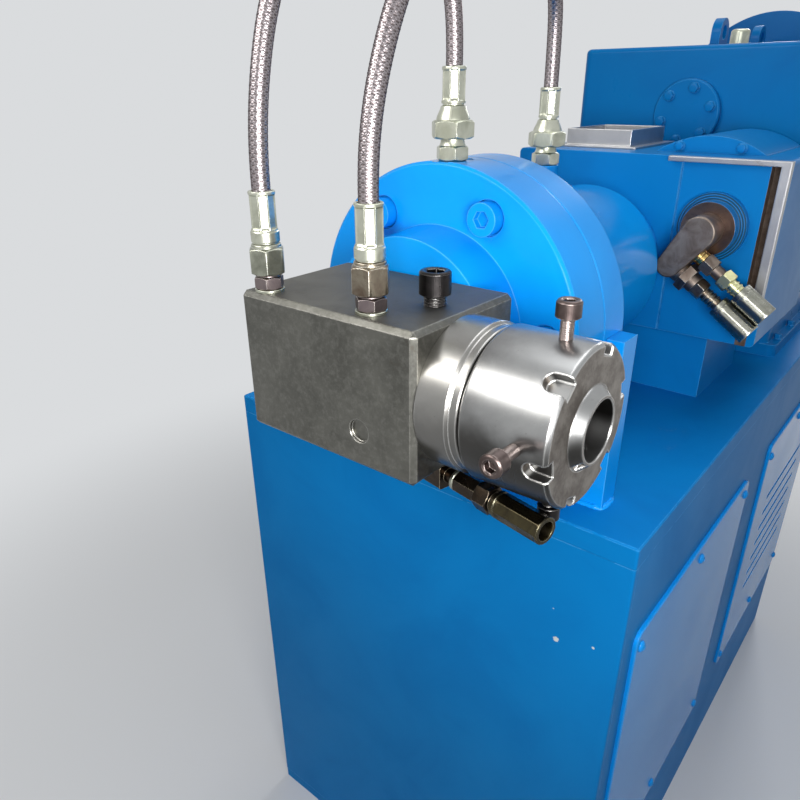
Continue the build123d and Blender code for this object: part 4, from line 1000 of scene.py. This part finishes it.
def port_washer(x, y, inner=9, outer=12.4, height=2.3):
    """A flat ring with broken edges: its profile goes up outside and back down inside."""
    rows = [(0, inner, 0), (0, outer - 0.2, 0), (0.2, outer, 0), (height - 0.3, outer, 0)]
    rows += [(height, outer - 0.4, 0), (height, inner, 0), (height - 0.6, inner, 0), (0.05, 1, 0)]
    return turned(spot(x, y, BLOCK_TOP), Z, rows, 64)


piece("left_swivel_nut", [swivel_nut(*LEFT_PORT, 0.30)], aged_zinc, ["left_hose_end"])
piece("right_swivel_nut", [swivel_nut(*RIGHT_PORT, 0.12)], stained_zinc,
      ["right_hose_end"])
piece("hose_ferrules", [crimped_ferrule(*LEFT_PORT, 0.53), crimped_ferrule(*RIGHT_PORT, 0.4)],
      zinc_plate, ["left_hose_end", "right_hose_end"])
piece("hose_adaptor_details", [adaptor(*LEFT_PORT, 0.15), adaptor(*RIGHT_PORT, 0.4)],
      adaptor_steel, ["hose_adaptors"])
piece("port_washers", [port_washer(*LEFT_PORT), port_washer(*RIGHT_PORT)], zinc_plate)

# %% [markdown]
# The two ports above the flange and the barrel have larger nuts with a taper into the ferrule.
# Both are alike and of one metal, so each is a single surface from its foot to its mouth.

# %% Port fittings
PORT_HEX = 19
PORT_NUT = 35
PORT_TAPER = 48
PORT_TOP = 79


def port_fitting(name, y, foot, hides):
    """A hexagon, a swivel nut, a taper and a crimped ferrule, as one turned surface."""
    rows = [(0, 8, 0), (0, 12, 0)] + six_sided(0.4, PORT_HEX - 6, 27)
    rows += [(PORT_HEX - 5.6, 12.2, 0), (PORT_HEX - 3, 11.2, 0), (PORT_HEX, 11.0, 0)]
    rows += six_sided(PORT_HEX + 0.2, PORT_NUT, 36)
    rows += [(PORT_NUT + 0.2, 15.6, 0), (PORT_NUT + 3, 15.0, 0), (PORT_TAPER - 4, 12.2, 0)]
    rows += [(PORT_TAPER - 1.5, 11.4, 0), (PORT_TAPER - 0.5, 9.8, 0), (PORT_TAPER + 0.6, 9.8, 0)]
    rows += [(PORT_TAPER + 0.9, 11.0, 0)] + between(PORT_TAPER + 1.6, PORT_TOP - 1.5, 11.0, 1.3)
    rows += [(PORT_TOP - 0.5, 10.8, 0), (PORT_TOP, 10.2, 0), (PORT_TOP, 8.4, 0)]
    rows += [(PORT_TOP - 6, 8.2, 0), (PORT_TOP - 6, 6, 0)]
    jaws = crimped(PORT_TAPER + 3, PORT_TOP - 2.6, 19.1)
    surface = turned(spot(0, y, foot), Z, rows, 192, [jaws], clock=0.27)
    piece(name, [surface], zinc_plate, [hides])


port_fitting("flange_port_detail", y=144, foot=154, hides="flange_port_fitting")
port_fitting("barrel_port_detail", y=325, foot=136, hides="barrel_port_fitting")

# %% [markdown]
# Socket cap screws: a finely knurled head, a hexagonal socket, and where the screw stands proud,
# its thread. The clamp screw is an M16, the four centring screws M10, and two of those stand
# further out than the others, because they push the die off centre until the rubber runs even.
# The lowest one is black. The knurl is real geometry too, because it catches the light at the
# edge of the head.

# %% Cap screws
def cap_screw_rows(proud, head, length, thread_across, pitch, key, depth):
    """Rows of a screw that stands proud: thread, under-head, head, then down into the socket."""
    crown = proud + length
    corner = key / 2 / math.cos(math.pi / 6)
    rows = [(-3, thread_across / 2, 0)]
    rows += between(-2.8, proud - 0.4, thread_across / 2, pitch / 6)
    rows += [(proud, thread_across / 2 * 0.92, 0), (proud, head / 2 - 0.8, 0)]
    rows += between(proud + 0.6, crown - 1.6, head / 2, 2.0)
    rows += [(crown - 1.2, head / 2 - 0.25, 0), (crown - 0.3, head / 2 - 1.0, 0)]
    rows += [(crown, head / 2 - 1.5, 0), (crown, corner + 0.9, 0), (crown - 0.5, corner + 0.1, 0)]
    rows += [(crown - 0.8, corner, key), (crown - depth, corner, key)]
    return rows + [(crown - depth - 1.0, 1.0, 0)]


THREAD_CUT = 0.36
KNURL_DEPTH = 0.11


def cap_screw(foot, along, proud, clock, ridges, sizes):
    """A screw whose foot is on the surface that it leaves."""
    rows = cap_screw_rows(proud, **sizes)
    cut = thread(-3, proud - 0.4, sizes["pitch"], THREAD_CUT * sizes["pitch"])
    knurl = ribbed(proud + 1.0, proud + sizes["length"] - 2.6, ridges, KNURL_DEPTH)
    return turned(foot, along, rows, ridges * 4, [cut, knurl], clock)


CENTRING_SIZES = {"head": 17.8, "length": 12.5, "thread_across": 10, "pitch": 1.5, "key": 8,
                  "depth": 6}
CLAMP_SIZES = {"head": 25.4, "length": 18.8, "thread_across": 18.4, "pitch": 2.4, "key": 14,
               "depth": 9}
CENTRING_X = 201
CENTRING_PROUD = (12.2, 15.2, 17.7, 12.2)
NUT_RADIUS = 61
SUNK = 0.2
screws = []
for quarter, proud in enumerate(CENTRING_PROUD):
    out = np.array([0.0, math.cos(math.pi / 2 * quarter), math.sin(math.pi / 2 * quarter)])
    foot = spot(CENTRING_X, 0, 0) + out * (NUT_RADIUS - SUNK) * MM
    screws.append(cap_screw(foot, out, proud, 0.4 * quarter, 44, CENTRING_SIZES))
piece("centring_screw_details", screws[:3], browned_steel, ["centring_screws"])
piece("lower_centring_screw", screws[3:], black_oxide, ["centring_screws"])
clamp = cap_screw(spot(84, 7, BLOCK_TOP - SUNK), Z, 8.7, 0.0, 60, CLAMP_SIZES)
piece("clamp_screw_detail", [clamp], black_oxide, ["clamp_screw"])

# %% [markdown]
# Under the block an elbow turns a hose end to the right, nearly in line with the die. The elbow
# and its nut are near black: blackened metal, darkened further as a painted shade for their place
# under the block. Its ferrule is open at the mouth: the profile turns back down inside it, because
# a closed end would look like a plug. The same two profiles serve the rotary union below.

# %% Hose end under the block
def nut_and_neck_rows(start, nut, neck, flats, radius, rings):
    """A hexagon, then a neck with evenly spaced rings, closed at both ends."""
    rows = [(start, flats / 2 - 3.5, 0)] + six_sided(start + 0.2, nut, flats)
    rows += [(nut + 0.2, radius, 0)]
    for place in np.linspace(nut + 0.2, neck, rings + 2)[1:-1]:
        rows += [(place - 1.2, radius, 0), (place - 0.8, radius + 1.1, 0)]
        rows += [(place + 0.8, radius + 1.1, 0), (place + 1.2, radius, 0)]
    return rows + [(neck + 1, radius, 0), (neck + 1, 1, 0)]


def open_ferrule_rows(start, top, radius, bore, depth, groove):
    """A shell with one groove near its foot, whose profile turns back down inside the mouth."""
    rows = [(start, 1, 0), (start, radius - 1.2, 0), (start + 0.9, radius - 0.1, 0)]
    rows += [(start + groove - 0.9, radius, 0), (start + groove - 0.5, radius - 0.7, 0)]
    rows += [(start + groove + 0.5, radius - 0.7, 0), (start + groove + 0.9, radius, 0)]
    rows += between(start + groove + 1.5, top - 1.4, radius, 1.6)
    rows += [(top - 0.6, radius - 0.1, 0), (top, radius - 0.8, 0), (top, bore + 0.6, 0)]
    rows += [(top - 1, bore, 0), (top - depth, bore, 0), (top - depth, 1, 0)]
    return rows


elbow_angle = math.radians(12)
elbow_out = np.array([math.cos(elbow_angle), -math.sin(elbow_angle), 0.0])
elbow_foot = spot(98, 0, -80)
ELBOW_NECK = 67.5
rows = nut_and_neck_rows(start=49, nut=64.5, neck=ELBOW_NECK, flats=22, radius=8.3, rings=0)
piece("lower_hose_nut", [turned(elbow_foot, elbow_out, rows, 96)], elbow_black_and_shaded,
      ["lower_hose_end"])
rows = [(20.4, 1, 0), (20.4, 8.6, 0), (20.9, 9.4, 0), (23.2, 9.4, 0), (23.8, 8.8, 0), (23.8, 1, 0)]
piece("elbow_ring", [turned(elbow_foot, elbow_out, rows, 64)], aged_zinc)
rows = open_ferrule_rows(start=ELBOW_NECK, top=117, radius=11.4, bore=7.5, depth=30, groove=5)
jaws = crimped(75, 115, 21.0)
piece("lower_hose_ferrule", [turned(elbow_foot, elbow_out, rows, 96, [jaws])], olive_ferrule,
      ["lower_hose_end"])

# %% [markdown]
# The rotary union beside the feed roll has two more hose ends: one on a gold brass neck and a
# steel hexagon with a yellowish nut, the other straight on the union's arm. Both lean down to the
# right at the same angle, so two directions and two starting points place all their parts.

# %% Hose ends at the rotary union
union_angle = math.radians(34.6)
union_out = np.array([math.cos(union_angle), 0.0, -math.sin(union_angle)])
union_down = np.array([-math.sin(union_angle), 0.0, -math.cos(union_angle)])
union_centre = spot(142, 469, 56)
upper_line = union_centre + union_down * 22.6 * MM
lower_line = union_centre + union_down * 51.1 * MM
rows = [(12, 1, 0), (12, 9.4, 0), (20, 9.4, 0), (20.6, 8.9, 0), (22, 8.9, 0), (22.6, 9.4, 0),
        (26.6, 9.4, 0), (27, 9.0, 0), (27, 1, 0)]
piece("union_brass_neck", [turned(upper_line, union_out, rows, 64)], brass,
      ["union_brass_adaptor"])
rows = [(27, 1, 0)] + six_sided(27.1, 42.8, 22) + [(43, 8, 0), (55, 8, 0), (55, 1, 0)]
piece("union_hexagon", [turned(upper_line, union_out, rows, 96, clock=0.25)], union_steel,
      ["union_brass_adaptor"])
rows = nut_and_neck_rows(start=55, nut=68.8, neck=83, flats=22, radius=7.9, rings=2)
piece("union_upper_nut", [turned(upper_line, union_out, rows, 96)], yellow_zinc,
      ["union_hose_ends"])
rows = nut_and_neck_rows(start=40, nut=53.8, neck=76, flats=22, radius=7.9, rings=3)
piece("union_lower_nut", [turned(lower_line, union_out, rows, 96)], stained_zinc,
      ["union_hose_ends"])
shells = []
for line, start, top in ((upper_line, 83, 126), (lower_line, 76, 128)):
    rows = open_ferrule_rows(start, top, radius=14, bore=8, depth=30, groove=7)
    jaws = crimped(start + 10, top - 2.5, 27.6, jaws=16, proud=0.0)
    shells.append(turned(line, union_out, rows, 96, [jaws]))
piece("union_ferrules", shells, chromed_shell, ["union_hose_ends"])

# %% [markdown]
# Bolts and screws come in sets. One head is computed once and shifted to every place as whole
# arrays, and each set becomes one piece.

# %% Sets of bolts
def repeated(surface, places):
    """Copies of a surface, each moved by its own offset."""
    points, faces = surface
    return [(points + place, faces) for place in places]


def hexagon_bolt(along, flats, height, rim):
    """A washer with this rim and a chamfered hexagon head, standing on the origin."""
    rows = [(-1, rim - 0.5, 0), (0, rim, 0), (1.6, rim, 0), (2, rim - 0.5, 0)]
    rows += [(2, flats / 2 * 0.9, 0)] + six_sided(2.1, height, flats)
    rows += [(height + 0.3, flats / 2 * 0.8, 0), (height + 0.3, 1, 0)]
    return turned(np.zeros(3), along, rows, 48)


def button_screw(along, across, height):
    """A dome with a hexagonal socket: height times a sine over half the width times a cosine."""
    half = across / 2
    dome = [(height * math.sin(t), half * math.cos(t), 0) for t in np.linspace(0.0, 1.12, 7)]
    key = across * 0.36
    corner = key / 2 / math.cos(math.pi / 6)
    rows = [(-1, half * 0.9, 0)] + dome
    rows += [(height * 0.92, corner + 0.2, 0), (height * 0.85, corner, key)]
    rows += [(height * 0.35, corner, key), (height * 0.3, 0.5, 0)]
    return turned(np.zeros(3), along, rows, 36)


def places_around(x, y, z, radius, count, first):
    """Spots on a circle square to the barrel: the radius times the cosine and sine of the angle."""
    angle = first + 2 * math.pi * np.arange(count) / count
    ring = np.stack([np.cos(angle), np.zeros(count), np.sin(angle)], 1) * radius * MM
    return spot(x, y, z) + ring


# %% [markdown]
# Each cover on the base is held by six screws, each lip of the gearbox by eight bolts, its bearing
# cap by six, and the feed roll's case by two. Their places come from a few named lines, and the
# covers on the left repeat those on the right, moved across the base.

# %% Where the bolts and screws stand
BASE_RIGHT = 232
BASE_LEFT = -360
COVER_THICKNESS = 5
COVER_SCREWS_Y = ((191, 391, 591), (743, 943, 1143))
COVER_SCREWS_Z = (-340, -776)
right_cover = [spot(BASE_RIGHT + COVER_THICKNESS, y, z)
               for cover in COVER_SCREWS_Y for z in COVER_SCREWS_Z for y in cover]
across_base = X * (BASE_RIGHT - BASE_LEFT + 2 * COVER_THICKNESS) * MM
cover_screws = repeated(button_screw(X, 14, 4.5), right_cover)
cover_screws += repeated(button_screw(-X, 14, 4.5), [place - across_base for place in right_cover])
piece("cover_screws", cover_screws, machine_blue)

LIP_SIDE = 192
LIP_BOLTS_Y = (816, 906, 1046, 1136)
upper_lip, lower_lip = ([spot(side * LIP_SIDE, y, z) for side in (-1, 1) for y in LIP_BOLTS_Y]
                        for z in (18, -165))
gearbox_bolts = repeated(hexagon_bolt(Z, 11, 9, 6), upper_lip + lower_lip)
gearbox_bolts += repeated(hexagon_bolt(-Y, 13, 8, 8),
                          places_around(0, 764, 175, radius=38, count=6, first=0.3))
piece("gearbox_bolts", gearbox_bolts, drive_blue)
case_bolts = [spot(145.8, 560, 144.6), spot(69.2, 560, 144.6)]
piece("case_bolts", repeated(hexagon_bolt(-Y, 10, 7, 6.5), case_bolts), feed_blue)
print("bolts made")

# %% [markdown]
# A weld bead runs along the foot of the saddle plate, where it stands on the base. It could be a
# row of small spheres, but one round bar whose radius swells and shrinks with each step of the
# torch looks the same with far fewer faces.

# %% Weld beads
def weld_bead(start, end, radius, pitch):
    """A capsule of circles along a line: the radius carries a ripple of one step per pitch."""
    run = end - start
    length = float(np.linalg.norm(run))
    along = np.linspace(0, length, int(length / (pitch * MM) * 4))
    ease = np.clip(np.minimum(along, length - along) / (2 * radius * MM), 0.12, 1) ** 0.5
    swell = radius * (1 + 0.13 * np.abs(np.sin(np.pi * along / (pitch * MM)))) * ease
    rows = [(height / MM, size, 0) for height, size in zip(along, swell)]
    return turned(start, run / length, rows, 14)


FRONT_LEFT, FRONT_RIGHT = (-173, 185, -185), (173, 185, -185)
BACK_LEFT, BACK_RIGHT = (-173, 216, -185), (173, 216, -185)
WELD_RADIUS = 3.6
WELD_STEP = 6
beads = [weld_bead(spot(*start), spot(*end), WELD_RADIUS, WELD_STEP)
         for start, end in ((FRONT_LEFT, FRONT_RIGHT), (BACK_LEFT, BACK_RIGHT),
                            (FRONT_LEFT, BACK_LEFT), (FRONT_RIGHT, BACK_RIGHT))]
piece("saddle_welds", beads, machine_blue)

# %% [markdown]
# The CAD nodes keep their own meshes and only get their finishes here. What isn't listed is
# painted: in the base's tone where the name starts with base_, and else in the flange's azure.

# %% Finishes of the CAD nodes
FINISHES = {
    "crosshead_block": milled_steel,
    "die_collar": turned_steel,
    "die_nut": nut_steel,
    "lock_ring": nut_steel,
    "inlet_collar": turned_steel,
    "feed_frame": bright_steel,
    "feed_rim": bright_steel,
    "die": die_black,
    "feed_housing": feed_blue,
    "feed_roll_cap": roll_cap,
    "rotary_union": union_steel,
    "lower_elbow": elbow_black_and_shaded,
    "gearbox_breather": zinc_plate,
    "roll_case": feed_blue,
    "feed_pedestal": feed_blue,
}
for name in ("gearbox_housing", "gearbox_cover", "front_bearing_cap", "lantern", "input_cap",
             "belt_guard"):
    FINISHES[name] = drive_blue
for name, node in nodes.items():
    finish = FINISHES.get(name, base_blue if name.startswith("base_") else machine_blue)
    node.data.materials.clear()
    node.data.materials.append(finish)
print("finished", len(nodes), "CAD nodes")

# %% [markdown]
# The machine stands on a plain pale floor without an edge: near it the floor is matt and takes
# the shadow, and further out it fades into the same pale grey that the world shows, so there is
# no horizon. That grey is only for rays that end in the picture or in a reflection; the light
# that falls on the machine is set apart from it.

# %% Floor and world
PALE = (0.70, 0.715, 0.73)
FLOOR_GREY = (0.74, 0.745, 0.75)
FLOOR_RADIUS = 20
FADE_FROM, FADE_TO = 0.6, 2.1
AMBIENT = 0.20


def seen_rays(tree):
    """1 for rays from the camera and for those that come by a mirror or through glass."""
    path = tree.nodes.new("ShaderNodeLightPath").outputs
    mirror = calc(tree, "MAXIMUM", path["Is Glossy Ray"], path["Is Transmission Ray"])
    return calc(tree, "MAXIMUM", path["Is Camera Ray"], mirror)


def floor_finish(name, near, far):
    """Matt near the machine, and out to the far distance a blend into the world's own grey."""
    material, tree, shader, place = start_material(name, FLOOR_GREY, 0.7)
    shader.inputs["Specular IOR Level"].default_value = 0.2
    away = add(tree, "ShaderNodeVectorMath", 1, {"operation": "LENGTH"}, _0=place)
    glow = tree.nodes.new("ShaderNodeEmission")
    glow.inputs["Color"].default_value = (*PALE, 1)
    tree.links.new(seen_rays(tree), glow.inputs["Strength"])
    blend = tree.nodes.new("ShaderNodeMixShader")
    tree.links.new(ramp(tree, away, near, far), blend.inputs[0])
    tree.links.new(shader.outputs[0], blend.inputs[1])
    tree.links.new(glow.outputs[0], blend.inputs[2])
    tree.links.new(blend.outputs[0], tree.nodes["Material Output"].inputs["Surface"])
    return material


floor_mesh = bpy.data.meshes.new("floor")
round_floor = np.linspace(0, 2 * np.pi, 65)[:-1]
rim = FLOOR_RADIUS * np.stack([np.cos(round_floor), np.sin(round_floor), 0 * round_floor], 1)
floor_mesh.from_pydata(rim.tolist(), [], [tuple(range(len(rim)))])
floor = bpy.data.objects.new("floor", floor_mesh)
floor_mesh.materials.append(floor_finish("pale_floor", FADE_FROM, FADE_TO))
scene.collection.objects.link(floor)

world = bpy.data.worlds.new("studio")
scene.world = world
world.use_nodes = True
sky = world.node_tree
sky_light = sky.nodes["Background"]
sky_light.inputs["Color"].default_value = (*PALE, 1)
sky.links.new(calc(sky, "MULTIPLY_ADD", seen_rays(sky), 1.0 - AMBIENT, AMBIENT),
              sky_light.inputs["Strength"])

# %% [markdown]
# The front lamp is near the camera, to its right and a little lower. Because it is near, the
# flange and the crosshead are lit much more than the base's foot, and its reflection runs along
# the nut, the hoses and the ferrules as a bright band. A larger one to the left softens its
# shadows. A wide one above lights the tops. The one behind keeps the back from going black, and
# stands where neither the nut nor the flange's rim mirrors it into the camera.

# %% Lamps
def area_light(name, place, target, size, power, color=(1, 1, 1)):
    """A lamp of this width and height that faces its target and can't be seen itself."""
    lamp = bpy.data.lights.new(name, "AREA")
    lamp.shape = "RECTANGLE"
    lamp.size, lamp.size_y = size
    lamp.energy = power
    lamp.color = color
    made = bpy.data.objects.new(name, lamp)
    made.location = place
    made.rotation_mode = "QUATERNION"
    made.rotation_quaternion = (Vector(target) - Vector(place)).to_track_quat("-Z", "Y")
    made.visible_camera = False
    scene.collection.objects.link(made)


middle = spot(80, 60, 0)
area_light("key", (-0.30, -1.34, 1.72), middle, (0.75, 0.5), 8.0, (1.0, 0.985, 0.96))
area_light("front", spot(510, -410, 155), spot(40, 100, 50), (0.36, 0.28), 7.4)
area_light("top", (0.3, 0.2, 3.2), middle, (2.0, 2.0), 28, (0.95, 0.975, 1.0))
area_light("back", (-0.4, 3.8, 2.2), (0.0, 0.3, 0.8), (0.9, 0.9), 45, (0.95, 0.97, 1.0))
print("four lamps and a floor set up")
